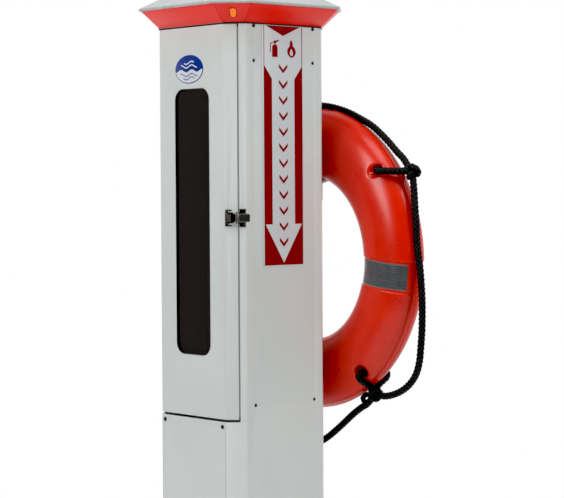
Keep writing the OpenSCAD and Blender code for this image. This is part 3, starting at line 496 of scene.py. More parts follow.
ringLow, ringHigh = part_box("life_ring")
ringCentre = (ringLow + ringHigh) / 2
lifeRing = {
    "outerRadius": (ringHigh.x - ringLow.x) / 2 / mm,
    "innerRadius": 166.0,
    "halfDepth": (ringHigh.y - ringLow.y) / 2 / mm,
    "turn": -6.3,
    "holeOffset": 45.0,
    "holeRadius": 12.0,
    "lipWidth": 5.0,
    "lipDepth": 4.0,
    "tapeWidth": 51.0,
    "recessHalf": 26.6,
    "recessFlare": 0.04,
    "recessDepth": 2.1,
    "seamWidth": 2.6,
    "seamHeight": 0.8,
    "facesAround": 760,
    "facesAcross": 132,
    "tapeEdge": 7,  # degrees from a tape's middle to its edges
    "holeSection": 49,  # degrees round the tube to a hole's lip
}
lifeRing["middle"] = (lifeRing["outerRadius"] + lifeRing["innerRadius"]) / 2
lifeRing["halfWidth"] = (lifeRing["outerRadius"] - lifeRing["innerRadius"]) / 2
grabRope = {
    "diameter": 12.0,
    "crown": 7.3,
    "spacing": 1.0,
    "sides": 40,
    "strandsEachWay": 5,
    "turnPitch": 46.0,
    "relief": 2.0,
    "dip": 0.4,  # share of its height that a strand loses where it passes under
    "loopAngles": (-1.3, 150, -110, -83),
    "knotDistance": 68.3,
    "loopTips": (66, 66, 64, 52),
}

# routes of the grab rope: X, then Y from the ring's mid plane, then Z from the ring's centre, in millimetres
topRoute = [
    (274, 3, 184), (257, 7, 199), (239, 7, 213), (219, 7, 230), (197, 7, 247), (168, 7, 266),
    (137, 7, 280), (104, 7, 293), (68, 7, 303), (32, 7, 309), (-6, 7, 311), (-44, 7, 309),
    (-80, 7, 302), (-114, 7, 291), (-146, 6, 279), (-174, 4, 268), (-200, 2, 261), (-218, 1, 257),
]
rightRoute = [
    (291, -1, 157), (297, -4, 128), (303, -8, 100), (307, -9, 72), (308, -9, 44), (312, -9, 14),
    (317, -9, -16), (320, -9, -46), (322, -9, -76), (321, -8, -106), (319, -7, -136),
    (315, -6, -166), (309, -4, -195), (297, -2, -221), (276, -1, -243), (250, 0, -258),
    (222, 0, -267), (200, 0, -269),
]
bottomRoute = [
    (160, 0, -288), (143, 0, -297), (118, 0, -313), (94, 0, -331), (69, 0, -349), (43, 0, -366),
    (15, 0, -380), (-15, 0, -389), (-46, 0, -392), (-77, 0, -389), (-107, 0, -380),
    (-135, 0, -367), (-161, 0, -350), (-184, 0, -330), (-204, 0, -307), (-221, 0, -282),
    (-234, 0, -255),
]
leftRoute = [
    (-243, -1, 238), (-257, -3, 211), (-270, -5, 183), (-282, -7, 155), (-293, -8, 126),
    (-302, -9, 97), (-309, -9, 68), (-314, -9, 38), (-317, -9, 8), (-318, -9, -22),
    (-317, -9, -52), (-314, -9, -82), (-309, -8, -111), (-302, -7, -140), (-292, -5, -168),
    (-276, -3, -197), (-253, -1, -226),
]


def inRing(x, y, z):
    return ringCentre + Vector((x, y, z)) * mm


def holePlace(k):
    angle = math.radians(lifeRing["turn"] + 45 + 90 * k)
    radius = lifeRing["middle"] + lifeRing["holeOffset"]
    return Vector((radius * math.cos(angle), 0, radius * math.sin(angle)))


def loopDirection(k):
    angle = math.radians(grabRope["loopAngles"][k])
    return Vector((math.cos(angle), 0, math.sin(angle)))


knotPlaces = [holePlace(k) + loopDirection(k) * grabRope["knotDistance"] for k in range(4)]
ropeEnds = knotPlaces[:3] + [Vector((184, 0, -265))]


def smoothPath(points, spacing, closed=False):
    # an even run of points along one smooth curve through the given ones, and its length
    given = np.array([tuple(p) for p in points], float)
    if closed:
        padded = np.vstack([given[-1], given, given[0], given[1]])
    else:
        padded = np.vstack([2 * given[0] - given[1], given, 2 * given[-1] - given[-2]])
    stepsPerSpan = 24
    t = np.linspace(0, 1, stepsPerSpan, endpoint=False)[:, None]
    spans = [
        0.5 * (2 * b + (c - a) * t + (2 * a - 5 * b + 4 * c - d) * t**2 + (3 * b - a - 3 * c + d) * t**3)
        for a, b, c, d in zip(padded, padded[1:], padded[2:], padded[3:])
    ]
    dense = np.vstack(spans + [given[:1] if closed else given[-1:]])
    reach = np.concatenate([[0], np.cumsum(np.linalg.norm(np.diff(dense, axis=0), axis=1))])
    at = np.linspace(0, reach[-1], max(8, round(reach[-1] / spacing)) + 1)
    if closed:
        at = at[:-1]
    return np.stack([np.interp(at, reach, dense[:, k]) for k in range(3)], axis=1), float(reach[-1])


def carryFrames(centre, closed):
    # tangents, and normals carried along the path without twist
    along = np.roll(centre, -1, 0) - np.roll(centre, 1, 0)
    if not closed:
        along[0], along[-1] = centre[1] - centre[0], centre[-1] - centre[-2]
    along /= np.linalg.norm(along, axis=1)[:, None]
    side = np.cross(along[0], (0.31, 0.85, 0.42))
    normals = np.zeros_like(centre)
    for i, tangent in enumerate(along):
        side = side - tangent * side.dot(tangent)
        side /= np.linalg.norm(side)
        normals[i] = side
    if closed:
        last = normals[-1] - along[0] * normals[-1].dot(along[0])
        twist = math.atan2(np.cross(last, normals[0]).dot(along[0]), last.dot(normals[0]))
        turn = np.linspace(0, twist, len(centre))[:, None]
        normals = normals * np.cos(turn) + np.cross(along, normals) * np.sin(turn)
    return along, normals


def braidedTube(name, points, closed=False, scale=1.0):
    # a round braid: two sets of strands that cross over and under each other
    centre, length = smoothPath(points, grabRope["spacing"] * mm, closed)
    along, normals = carryFrames(centre, closed)
    across = np.cross(along, normals)
    count, sides, strands = len(centre), grabRope["sides"], grabRope["strandsEachWay"]
    turns = max(1, round(length / (grabRope["turnPitch"] * mm * scale)))
    s = 2 * math.pi * turns * np.arange(count)[:, None] / (count if closed else count - 1)
    around = 2 * math.pi * np.arange(sides)[None, :] / sides
    first, second = strands * (around + s), strands * (around - s)
    firstIndex, secondIndex = np.round(first / (2 * math.pi)), np.round(second / (2 * math.pi))
    dip = grabRope["dip"]
    firstHeight = (1 - np.sin(first / 2) ** 4) * (1 - dip + dip * np.cos(second / 2 + math.pi * firstIndex))
    secondHeight = (1 - np.sin(second / 2) ** 4) * (1 - dip - dip * np.cos(first / 2 + math.pi * secondIndex))
    height = np.maximum(firstHeight, secondHeight)
    radius = (grabRope["crown"] - grabRope["relief"] * (1 - height)) * mm * scale
    rim = normals[:, None, :] * np.cos(around)[..., None] + across[:, None, :] * np.sin(around)[..., None]
    points3 = (centre[:, None, :] + rim * radius[..., None]).reshape(-1, 3)
    faces = []
    for i in range(count if closed else count - 1):
        near, far = i * sides, (i + 1) % count * sides
        faces += [(near + k, near + (k + 1) % sides, far + (k + 1) % sides, far + k) for k in range(sides)]
    if not closed:
        faces += [list(range(sides))[::-1], [(count - 1) * sides + k for k in range(sides)]]
    mesh = meshFrom(name, points3, faces)
    attribute = mesh.attributes.new("strandHeight", "FLOAT", "POINT")
    attribute.data.foreach_set("value", height.astype(np.float32).ravel())
    return mesh, centre, length


def makeRopeSpan(name, node, route, start, end):
    points = [inRing(*ropeEnds[start])] + [inRing(*p) for p in route] + [inRing(*ropeEnds[end])]
    mesh, centre, length = braidedTube(name, points)
    piece = placePiece(name, mesh, finishes["black_braid"], "life_ring", [node], 80)
    return length


ropeLengths = [
    makeRopeSpan("grab_rope_top", "rope_top", topRoute, 0, 1),
    makeRopeSpan("grab_rope_right", "rope_right", rightRoute, 0, 3),
    makeRopeSpan("grab_rope_bottom", "rope_bottom", bottomRoute, 3, 2),
    makeRopeSpan("grab_rope_left", "rope_left", leftRoute, 1, 2),
]
print("rope spans:", [round(length, 3) for length in ropeLengths])

# half of a loop's way from its hole over the face to the knot: out from the hole, then off the mid plane
loopWays = [
    [(4.5, 0), (4.5, 24), (7, 35), (14, 41), (25, 38), (37, 29), (49, 18), (60, 8)],
    [(4.5, 0), (4.5, 24), (7, 35), (14, 41), (25, 38), (37, 29), (49, 18), (60, 8)],
    [(4.5, 0), (4.5, 24), (7, 34), (13, 38), (21, 34), (29, 25), (37, 16), (46, 9), (58, 7.5)],
    [(4.5, 0), (4.5, 24), (6, 34), (10, 39), (17, 36), (23, 26), (29, 15), (36, 8), (46, 7)],
]


def makeAnchorLoops():
    parts = []
    for k in range(4):
        there = [holePlace(k) + loopDirection(k) * out + Vector((0, -depth, 0)) for out, depth in loopWays[k]]
        back = [Vector((p.x, -p.y, p.z)) for p in reversed(there[1:])]
        tip = [holePlace(k) + loopDirection(k) * grabRope["loopTips"][k]]
        mesh, _, _ = braidedTube("anchorLoop", [inRing(*p) for p in there + tip + back], True)
        parts.append((mesh, Matrix.Identity(4)))
    joined = joinMeshes("anchor_loops_braid", parts)
    placePiece(
        "anchor_loops_braid", joined, finishes["black_braid"], "life_ring", ["anchor_loops"], 80
    )


knots = {
    "size": 4.1,
    "steps": 36,
    "lean": 72,
    "tilts": (20, -35, 60),
    "thickness": 0.92,
    # the lower right knot's turns: centre, axis, radius and thickness; the last is a small open eye
    "wraps": (
        ((184, 0, -262), (0.15, 0.1, 1.0), 9.5, 0.8),
        ((179, 1, -271), (0.75, -0.2, 0.8), 9.0, 0.8),
        ((160, 0, -278), (0.72, -0.66, 0.1), 8.2, 0.76),
    ),
    "wrapSteps": 24,
}


def evenTurns(count):
    return [2 * math.pi * step / count for step in range(count)]


def trefoil(t):
    return Vector((
        math.sin(t) + 2 * math.sin(2 * t),
        math.cos(t) - 2 * math.cos(2 * t),
        -1.5 * math.sin(3 * t),
    ))


def makeKnots():
    # three knots drawn into trefoils, and the lower right one a wrap round the stub
    ways = []
    for k, tilt in enumerate(knots["tilts"]):
        lean = Matrix.Rotation(math.radians(knots["lean"]), 3, "X")
        spin = Matrix.Rotation(math.radians(tilt), 3, "Y") @ lean
        turns = evenTurns(knots["steps"])
        way = [inRing(*(knotPlaces[k] + spin @ trefoil(t) * knots["size"])) for t in turns]
        ways.append((way, knots["thickness"]))
    for centre, axis, radius, thickness in knots["wraps"]:
        spin = Vector((0, 0, 1)).rotation_difference(Vector(axis))
        turns = evenTurns(knots["wrapSteps"])
        circle = [Vector((math.cos(t), math.sin(t), 0)) for t in turns]
        way = [inRing(*(Vector(centre) + spin @ p * radius)) for p in circle]
        ways.append((way, thickness))
    parts = [(braidedTube("knot", way, True, thickness)[0], Matrix.Identity(4)) for way, thickness in ways]
    joined = joinMeshes("rope_knots_braid", parts)
    placePiece(
        "rope_knots_braid", joined, finishes["black_braid"], "life_ring", ["rope_knots"], 80
    )


makeAnchorLoops()
makeKnots()
print("rope loops and knots made")


def smoothStep(low, high, value):
    t = np.clip((value - low) / (high - low), 0, 1)
    return t * t * (3 - 2 * t)


def denseNear(count, centres, width, gain):
    # angles round a circle, in degrees, closer together near each centre
    fine = np.linspace(0, 360, 7201)
    weight = np.ones_like(fine)
    for centre in centres:
        gap = np.abs((fine - centre + 180) % 360 - 180)
        weight += gain * (1 - smoothStep(width * 0.7, width * 1.3, gap))
    reach = np.concatenate([[0], np.cumsum((weight[1:] + weight[:-1]) / 2)])
    return np.interp(np.linspace(0, reach[-1], count, endpoint=False), reach, fine)


def makeRingBody():
    # a tube bent into a ring: recessed bands under the tapes, a seam round the rim, rounded lips at the holes
    ring = lifeRing
    middle, halfWidth = ring["middle"], ring["halfWidth"]
    holeAngles = [ring["turn"] + 45 + 90 * k for k in range(4)]
    tapeAngles = [ring["turn"] + 90 * k + side * ring["tapeEdge"] for k in range(4) for side in (-1, 1)]
    around = denseNear(ring["facesAround"], holeAngles + tapeAngles, 3.0, 3.0)
    section = denseNear(ring["facesAcross"], [ring["holeSection"], -ring["holeSection"]], 15, 1.6)
    seam = math.degrees(ring["seamWidth"] / 2 / ring["halfDepth"])
    section = np.unique(np.round(np.concatenate([section, np.array([-1.35, -1, 1, 1.35]) * seam % 360]), 3))
    theta, phi = np.radians(around)[:, None], np.radians(section)[None, :]
    plainRadius = middle + halfWidth * np.cos(phi)
    tapeGap = plainRadius * np.abs(np.sin(np.radians((around[:, None] - ring["turn"] + 45) % 90 - 45)))
    edge = ring["recessHalf"] + ring["recessFlare"] * (plainRadius - ring["innerRadius"])
    recess = ring["recessDepth"] * (1 - smoothStep(edge - 0.4, edge + 0.9, tapeGap))
    fromRim = np.abs((section[None, :] + 180) % 360 - 180)
    seamRise = ring["seamHeight"] * (1 - smoothStep(seam, seam * 1.35, fromRim))
    grow = seamRise - recess
    radial = middle + (halfWidth + grow) * np.cos(phi)
    depth = (ring["halfDepth"] + grow) * np.sin(phi)
    x, z = radial * np.cos(theta), radial * np.sin(theta)
    y = -depth + 0 * theta
    for k in range(4):
        hole = holePlace(k)
        gap = np.hypot(x - hole.x, z - hole.z)
        t = np.clip((gap - ring["holeRadius"]) / ring["lipWidth"], 0, 1)
        y -= np.sign(y) * ring["lipDepth"] * (1 - t) ** 2
    points = np.stack([x, y, z], axis=-1).reshape(-1, 3) * mm + np.array(ringCentre)
    columns, rows = len(around), len(section)
    faces = []
    for i in range(columns):
        near, far = i * rows, (i + 1) % columns * rows
        faces += [(near + k, near + (k + 1) % rows, far + (k + 1) % rows, far + k) for k in range(rows)]
    mesh = faceOut(meshFrom("life_ring_body", points, faces))
    cutter = bmesh.new()
    for k in range(4):
        place = Matrix.Translation(inRing(*holePlace(k))) @ Matrix.Rotation(math.radians(90), 4, "X")
        bmesh.ops.create_cone(
            cutter, cap_ends=True, segments=64, radius1=ring["holeRadius"] * mm,
            radius2=ring["holeRadius"] * mm,
            depth=120 * mm, matrix=place,
        )
    cutterMesh = bpy.data.meshes.new("holeCutter")
    cutter.to_mesh(cutterMesh)
    cutter.free()
    cutterObject = bpy.data.objects.new("holeCutter", cutterMesh)
    draft = bpy.data.objects.new("ringDraft", mesh)
    scene.collection.objects.link(cutterObject)
    scene.collection.objects.link(draft)
    cut = draft.modifiers.new("holes", "BOOLEAN")
    cut.operation, cut.solver, cut.object = "DIFFERENCE", "EXACT", cutterObject
    done = evaluatedMesh(draft)
    bpy.data.objects.remove(cutterObject)
    placePiece(
        "life_ring_body", done, finishes["ring_polyethylene"], "life_ring",
        ["life_ring"], 50
    )
    print("life ring:", len(done.polygons), "faces")


makeRingBody()


def repeatTree():
    # copies of one part on every point, stood on the point's own direction and turned at random within a limit
    tree = bpy.data.node_groups.new("repeatOnPlaces", "GeometryNodeTree")
    face = tree.interface
    face.new_socket("Geometry", in_out="INPUT", socket_type="NodeSocketGeometry")
    kinds = {"Part": "Object", "Size": "Float", "Largest turn": "Float", "Seed": "Int", "Finish": "Material"}
    sockets = {
        name: face.new_socket(name, in_out="INPUT", socket_type="NodeSocket" + kind)
        for name, kind in kinds.items()
    }
    face.new_socket("Geometry", in_out="OUTPUT", socket_type="NodeSocketGeometry")
    inputs = addNode(tree, "NodeGroupInput").outputs
    vector = {"data_type": "FLOAT_VECTOR"}
    facing = addNode(tree, "GeometryNodeInputNamedAttribute", vector, {"Name": "facing"}).outputs["Attribute"]
    upright = addNode(tree, "GeometryNodeInputNamedAttribute", vector, {"Name": "upright"})
    upright = upright.outputs["Attribute"]
    stand = addNode(tree, "FunctionNodeAlignRotationToVector", {"axis": "Z"}, links={"Vector": facing})
    square = addNode(
        tree, "FunctionNodeAlignRotationToVector", {"axis": "Y", "pivot_axis": "Z"},
        links={"Rotation": stand.outputs["Rotation"], "Vector": upright},
    )
    shown = addNode(tree, "GeometryNodeObjectInfo", links={"Object": inputs["Part"]})
    copies = addNode(
        tree, "GeometryNodeInstanceOnPoints",
        links={
            "Points": inputs["Geometry"], "Instance": shown.outputs["Geometry"],
            "Rotation": square.outputs["Rotation"], "Scale": inputs["Size"],
        },
    )
    chance = addNode(
        tree, "FunctionNodeRandomValue", {"data_type": "FLOAT"}, {2: 0.0},
        {3: inputs["Largest turn"], 8: inputs["Seed"]},
    )
    about = addNode(tree, "ShaderNodeCombineXYZ", links={"Z": chance.outputs[1]})
    turned = addNode(
        tree, "GeometryNodeRotateInstances",
        links={"Instances": copies.outputs["Instances"], "Rotation": about.outputs["Vector"]},
    )
    real = addNode(tree, "GeometryNodeRealizeInstances", links={"Geometry": turned.outputs["Instances"]})
    coloured = addNode(
        tree, "GeometryNodeSetMaterial",
        links={"Geometry": real.outputs["Geometry"], "Material": inputs["Finish"]},
    )
    addNode(tree, "NodeGroupOutput", links={"Geometry": coloured.outputs["Geometry"]})
    return tree, {name: socket.identifier for name, socket in sockets.items()}


repeater, repeaterInputs = repeatTree()


def repeatPart(name, part, places, material, body, replaced=(), turn=0.0, seed=1):
    # places are (point, facing, upright) in metres; the copies become one plain mesh
    cloud = bpy.data.meshes.new(name + "Places")
    cloud.from_pydata([tuple(p) for p, _, _ in places], [], [])
    for key, column in (("facing", 1), ("upright", 2)):
        attribute = cloud.attributes.new(key, "FLOAT_VECTOR", "POINT")
        attribute.data.foreach_set("vector", [c for place in places for c in place[column]])
    carrier = bpy.data.objects.new(name + "Places", cloud)
    source = bpy.data.objects.new(name + "Part", part)
    scene.collection.objects.link(carrier)
    scene.collection.objects.link(source)
    modifier = carrier.modifiers.new("repeat", "NODES")
    modifier.node_group = repeater
    settings = {"Part": source, "Size": 1.0, "Largest turn": turn, "Seed": seed, "Finish": material}
    for key, value in settings.items():
        modifier[repeaterInputs[key]] = value
    mesh = evaluatedMesh(carrier)
    bpy.data.objects.remove(source)
    mesh.name = name
    return placePiece(name, mesh, material, body, replaced, 40)


tape = {
    "cell": 4.6,
    "gap": 0.7,
    "lift": 0.12,
    "thickness": 0.35,
    "backing": 0.9,
    "cellHeight": 0.3,
    "cellEdge": 0.1,
    "startsAt": 28.0,  # degrees round the tube from the rim to a tape's end
    "columns": 9,
    "rows": 90,
}


def makeTapes():
    # a thin backing wrapped round the inside of the tube, with rows of square cells on it
    ring = lifeRing
    middle, halfWidth = ring["middle"], ring["halfWidth"]
    sections = np.radians(np.linspace(tape["startsAt"], 360 - tape["startsAt"], tape["rows"]))
    grow = -ring["recessDepth"] + tape["thickness"] - 0.1

    def spot(theta, phi, lift=0.0):
        radial = middle + (halfWidth + grow + lift) * math.cos(phi)
        across = -(ring["halfDepth"] + grow + lift) * math.sin(phi)
        return inRing(radial * math.cos(theta), across, radial * math.sin(theta))

    def turnFor(offset, phi):
        # the tape keeps its width, so it turns less where the ring is wider
        return math.asin(offset / (middle + halfWidth * math.cos(phi)))

    def normalAt(theta, phi):
        out, back = math.cos(phi) / halfWidth, math.sin(phi) / ring["halfDepth"]
        return Vector((out * math.cos(theta), -back, out * math.sin(theta))).normalized()

    points, faces, places = [], [], []
    for k in range(4):
        centre = math.radians(ring["turn"] + 90 * k)
        offsets = np.linspace(-ring["tapeWidth"] / 2, ring["tapeWidth"] / 2, tape["columns"])
        start = len(points)
        for lift in (0.0, -tape["backing"]):
            for offset in offsets:
                points += [spot(centre + turnFor(offset, phi), phi, lift) for phi in sections]
        rows, layer = len(sections), len(offsets) * len(sections)
        for i in range(len(offsets) - 1):
            for j in range(rows - 1):
                a = start + i * rows + j
                faces.append((a, a + 1, a + rows + 1, a + rows))
                faces.append((a + layer, a + layer + rows, a + layer + rows + 1, a + layer + 1))
        rim = [i * rows for i in range(len(offsets))] + [(len(offsets) - 1) * rows + j for j in range(1, rows)]
        rim += [i * rows + rows - 1 for i in range(len(offsets) - 2, -1, -1)] + list(range(rows - 2, 0, -1))
        for a, b in zip(rim, rim[1:] + rim[:1]):
            faces.append((start + a, start + b, start + layer + b, start + layer + a))
        fine = np.linspace(sections[0], sections[-1], 800)
        steps = np.hypot(halfWidth * np.sin(fine), ring["halfDepth"] * np.cos(fine)) * (fine[1] - fine[0])
        reach = np.cumsum(steps)
        for at in np.arange(reach[0] + tape["cell"] / 2, reach[-1] - tape["cell"] / 2, tape["cell"]):
            phi = float(np.interp(at, reach, fine))
            count = int((ring["tapeWidth"] - 1) // tape["cell"])
            for i in range(count):
                theta = centre + turnFor((i + 0.5 - count / 2) * tape["cell"], phi)
                along = Vector((-math.sin(theta), 0, math.cos(theta)))
                places.append((spot(theta, phi, tape["lift"]), normalAt(theta, phi), along))
    backing = faceOut(meshFrom("tape_backing", points, faces))
    placePiece("tape_backing", backing, tapeWeld, "life_ring", ["reflective_tapes"])
    half = (tape["cell"] - tape["gap"]) / 2
    square = [(-half, -half), (half, -half), (half, half), (-half, half)]
    cell = flatPlate([square], tape["cellHeight"], tape["cellEdge"])
    repeatPart("tape_cells", cell, places, finishes["reflective_tape"], "life_ring")
    print("tape cells:", len(places))


makeTapes()

postLow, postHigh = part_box("post_shell")
post = {"half": postHigh.x / mm, "leg": 29.5}
collarLow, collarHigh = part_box("collar_band")
collar = {
    "low": collarLow.z / mm,
    "high": collarHigh.z / mm,
    "lowHalf": post["half"] + 0.5,
    "highHalf": collarHigh.x / mm,
    "lowLeg": post["leg"],
    "highLeg": 51.0,
    "sheet": 2.5,
    "edge": 0.4,
    "seam": 0.55,
    "seamShadeInset": 1.2,
    "lampPanel": 1,
    "lampWidth": 15.0,
    "lampLength": 26.0,
    "lampFit": 0.2,
}


def octagon(half, leg):
    return [
        (half - leg, -half), (half, leg - half), (half, half - leg), (half - leg, half),
        (leg - half, half), (-half, half - leg), (-half, leg - half), (leg - half, -half),
    ]


def makeCollar():
    # eight bright panels a hair apart over a dark sheet whose colour is painted shade seen through the seams,
    # and the lamp's slot in the right front one
    low, high = octagon(collar["lowHalf"], collar["lowLeg"]), octagon(collar["highHalf"], collar["highLeg"])
    panels = []
    for k in range(8):
        a, b = Vector((*low[k - 1], collar["low"])), Vector((*low[k], collar["low"]))
        c, d = Vector((*high[k], collar["high"])), Vector((*high[k - 1], collar["high"]))
        across = (b - a).normalized()
        centre = (a + b + c + d) / 4
        out = across.cross((c + d - a - b).normalized()).normalized()
        up = out.cross(across)
        place = outward(centre * mm, out, up)
        corners = [((p - centre).dot(across), (p - centre).dot(up)) for p in (a, b, c, d)]
        seam = collar["seam"]
        outline = [(x + (seam if x < 0 else -seam), y) for x, y in corners]
        outlines = [outline]
        if k == collar["lampPanel"]:
            fit = collar["lampFit"]
            slot = capsuleOutline(collar["lampWidth"] + fit, collar["lampLength"] + fit)
            outlines.append([(y, x) for x, y in slot])
        panels.append((flatPlate(outlines, collar["sheet"], collar["edge"]), place))
    mesh = joinMeshes("collar_panels", panels)
    placePiece(
        "collar_panels", mesh, finishes["orange_gloss_plastic"], "pedestal",
        ["collar_band"]
    )
    # the sheet behind the seams is painted shade, set a little inside the panels
    inset = collar["seamShadeInset"]
    rings = [
        (octagon(collar["lowHalf"] - inset, collar["lowLeg"]), collar["low"] + 0.5),
        (octagon(collar["highHalf"] - inset - 1, collar["highLeg"]), collar["high"] - 1),
    ]
    points = [Vector((*p, z)) * mm for outline, z in rings for p in outline]
    # the dark sheet of painted shade is open behind the lamp
    faces = [(k, (k + 1) % 8, 8 + (k + 1) % 8, 8 + k) for k in range(8) if k + 1 != collar["lampPanel"]]
    placePiece("collar_liner", meshFrom("collar_liner", points, faces), seamShadow, "pedestal")


makeCollar()

roofLow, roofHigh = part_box("roof_cap")
roof = {
    "half": roofHigh.x / mm,
    "leg": 53.9,
    "low": roofLow.z / mm,
    "top": roofHigh.z / mm,
    "nose": 3.0,
    "cornerRadius": 6.0,
    "noseEnd": 75,  # degrees up from level where the nose runs into the slope
    "noseSteps": 8,
    "slopeSteps": 12,
    "apexHalf": 6.0,
    "apexLeg": 2.0,
    "apexDrop": 2.0,
    "inside": 108.0,
}


def roundedOctagon(half, leg, radius, z, steps=4):
    # an octagon whose corners are short arcs
    corners = [Vector((*p, 0)) for p in octagon(half, leg)]
    points = []
    for k in range(8):
        before, here, after = corners[k - 1], corners[k], corners[(k + 1) % 8]
        shortest = min((before - here).length, (after - here).length)
        reach = min(radius * math.tan(math.radians(22.5)), shortest * 0.45)
        start, end = here + (before - here).normalized() * reach, here + (after - here).normalized() * reach
        for step in range(steps + 1):
            t = step / steps
            point = start * (1 - t) ** 2 + here * 2 * t * (1 - t) + end * t**2
            points.append(Vector((point.x, point.y, z)) * mm)
    return points


def loft(name, rings):
    # a skin over rings of equal counts, closed by the last one
    count = len(rings[0])
    faces = []
    for i in range(len(rings) - 1):
        near, far = i * count, (i + 1) * count
        faces += [(near + k, near + (k + 1) % count, far + (k + 1) % count, far + k) for k in range(count)]
    faces.append([(len(rings) - 1) * count + k for k in range(count)])
    return meshFrom(name, [p for ring in rings for p in ring], faces)


def makeRoof():
    # a shell with a rolled nose round its rim and four soft hips
    nose, rim, leg, corner = roof["nose"], roof["half"], roof["leg"], roof["cornerRadius"]
    middle = roof["low"] + nose
    rings = [roundedOctagon(roof["inside"], leg - 20, 4, roof["low"])]
    for step in range(roof["noseSteps"] + 1):
        angle = math.radians(-90 + (90 + roof["noseEnd"]) * step / roof["noseSteps"])
        reach = rim - nose + nose * math.cos(angle)
        rings.append(roundedOctagon(reach, leg, corner, middle + nose * math.sin(angle)))
    end = math.radians(roof["noseEnd"])
    start, low = rim - nose + nose * math.cos(end), middle + nose * math.sin(end)
    for step in range(1, roof["slopeSteps"] + 1):
        t = step / roof["slopeSteps"]
        half = start + (roof["apexHalf"] - start) * t
        height = low + (roof["top"] - roof["apexDrop"] - low) * t
        rings.append(roundedOctagon(half, leg + (roof["apexLeg"] - leg) * t, corner * 2 * (1 - t) + 1, height))
    rings.append(roundedOctagon(roof["apexHalf"] * 0.7, roof["apexLeg"] * 0.7, 1, roof["top"]))
    placePiece(
        "roof_shell", loft("roof_shell", rings), finishes["white_gloss_plastic"], "pedestal",
        ["roof_cap"], 60,
    )


makeRoof()
print("collar and roof made")

signLow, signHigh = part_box("sign_plate")
sign = {
    "middle": (signLow.y + signHigh.y) / 2 / mm,
    "width": (signHigh.y - signLow.y) / mm,
    "low": signLow.z / mm,
    "top": signHigh.z / mm,
    "face": signHigh.x / mm,
    "inkShift": 0.8,
    "corner": 2.5,
    "redHalf": 49.6,
    "line": 1.6,
    "shaftHalf": 29.0,
    "barbHalf": 47.0,
    "barbHeight": 80.5,
    "tipHeight": 5.4,
    "shoulderLow": 103.0,
    "shoulderHigh": 78.0,
    "notchHalf": 45.0,
    "notchDepth": 19.0,
    "inkHeight": 0.15,
    "marks": 12,
    "markPitch": 30.4,
    "firstMark": 83.0,
}


def onSign(x, z, lift=0.0):
    # a place on the sign's face, from its middle line and its lower edge
    return Vector((sign["face"] + lift, sign["middle"] + sign["inkShift"] + x, sign["low"] + z)) * mm


def blobOutline(points):
    # a smooth closed outline through a few points
    smooth, _ = smoothPath([(x, y, 0) for x, y in points], 1.4, True)
    return [(p[0], p[1]) for p in smooth]


def makeSign():
    height, half = sign["top"] - sign["low"], sign["width"] / 2
    corner = sign["corner"]
    plate = [(-half + corner, 0), (half - corner, 0), (half, corner), (half, height - corner)]
    plate += [(half - corner, height), (-half + corner, height), (-half, height - corner), (-half, corner)]
    place = outward(Vector((sign["face"], sign["middle"], sign["low"])) * mm, (1, 0, 0), (0, 0, 1))
    base = flatPlate([plate], 1.0, 0.2)
    base.transform(place)
    placePiece("sign_base", base, finishes["sign_vinyl"], "pedestal", ["sign_plate"])
    red, shaft, barb = sign["redHalf"], sign["shaftHalf"], sign["barbHalf"]
    top, line = height - 1, sign["line"]
    side = [
        (-red, top), (line - red, top), (line - red, height - sign["shoulderHigh"]),
        (-shaft, height - sign["shoulderLow"]), (-shaft, sign["barbHeight"]), (-barb, sign["barbHeight"]),
        (0, sign["tipHeight"]), (0, line), (-red, line),
    ]
    notch = [(-sign["notchHalf"], top), (sign["notchHalf"], top), (0, top - sign["notchDepth"])]
    flame = blobOutline(
        [(22, 0), (14.5, 3.5), (11, 11), (13, 18), (17, 22), (18, 29), (21, 34), (24.5, 29), (26, 22),
         (30, 19), (33, 11), (29.5, 3.5)]
    )
    core = blobOutline([(22, 3), (18.5, 6), (18, 11), (21.5, 17), (25, 11), (25.5, 6)])
    tank = [(-28, 0), (-14, 0), (-14, 19), (-17, 24), (-25, 24), (-28, 19)]
    head = [(-24, 25.5), (-18, 25.5), (-18, 28), (-10, 31), (-10, 33.5), (-24, 30.5)]
    hose = [(-25.5, 27), (-25.5, 29), (-33.5, 26), (-33.5, 9), (-31.5, 9), (-31.5, 24.7)]
    lift = Matrix.Translation((0, (height - 61) * mm, 0))
    still = Matrix.Identity(4)
    shapes = [([side], still), ([[(-x, y) for x, y in side]], still), ([notch], still)]
    shapes += [([flame, core], lift), ([tank], lift), ([head], lift), ([hose], lift)]
    ink = sign["inkHeight"]
    centred = outward(onSign(0, 0, ink), (1, 0, 0), (0, 0, 1))
    parts = [(flatPlate(outlines, ink), centred @ move) for outlines, move in shapes]
    placePiece("sign_ink", joinMeshes("sign_ink", parts), signRed, "pedestal")
    chevron = [(-11, 9), (-11, 2.5), (0, -9), (11, 2.5), (11, 9), (0, -2)]
    places = [
        (onSign(0, height - sign["firstMark"] - k * sign["markPitch"], ink), (1, 0, 0), (0, 0, 1))
        for k in range(sign["marks"])
    ]
    repeatPart("sign_marks", flatPlate([chevron], ink), places, signRed, "pedestal")


makeSign()

badgeLow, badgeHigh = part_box("door_badge")


badge = {
    "thickness": 0.8,
    "edge": 0.2,
    "rim": 3.0,
    "print": 0.15,
    "swell": 2.6,
    "swellLength": 5.2,
    "waterLevel": -3,
    # level, half length and half height of each band
    "crests": ((5.5, 24, 1.3), (12.5, 15, 1.3)),
    "ripples": ((-11, 26, 0.8), (-17.5, 17, 0.8)),
}


def swellAt(x, level):
    return level + badge["swell"] * math.sin(x / badge["swellLength"])


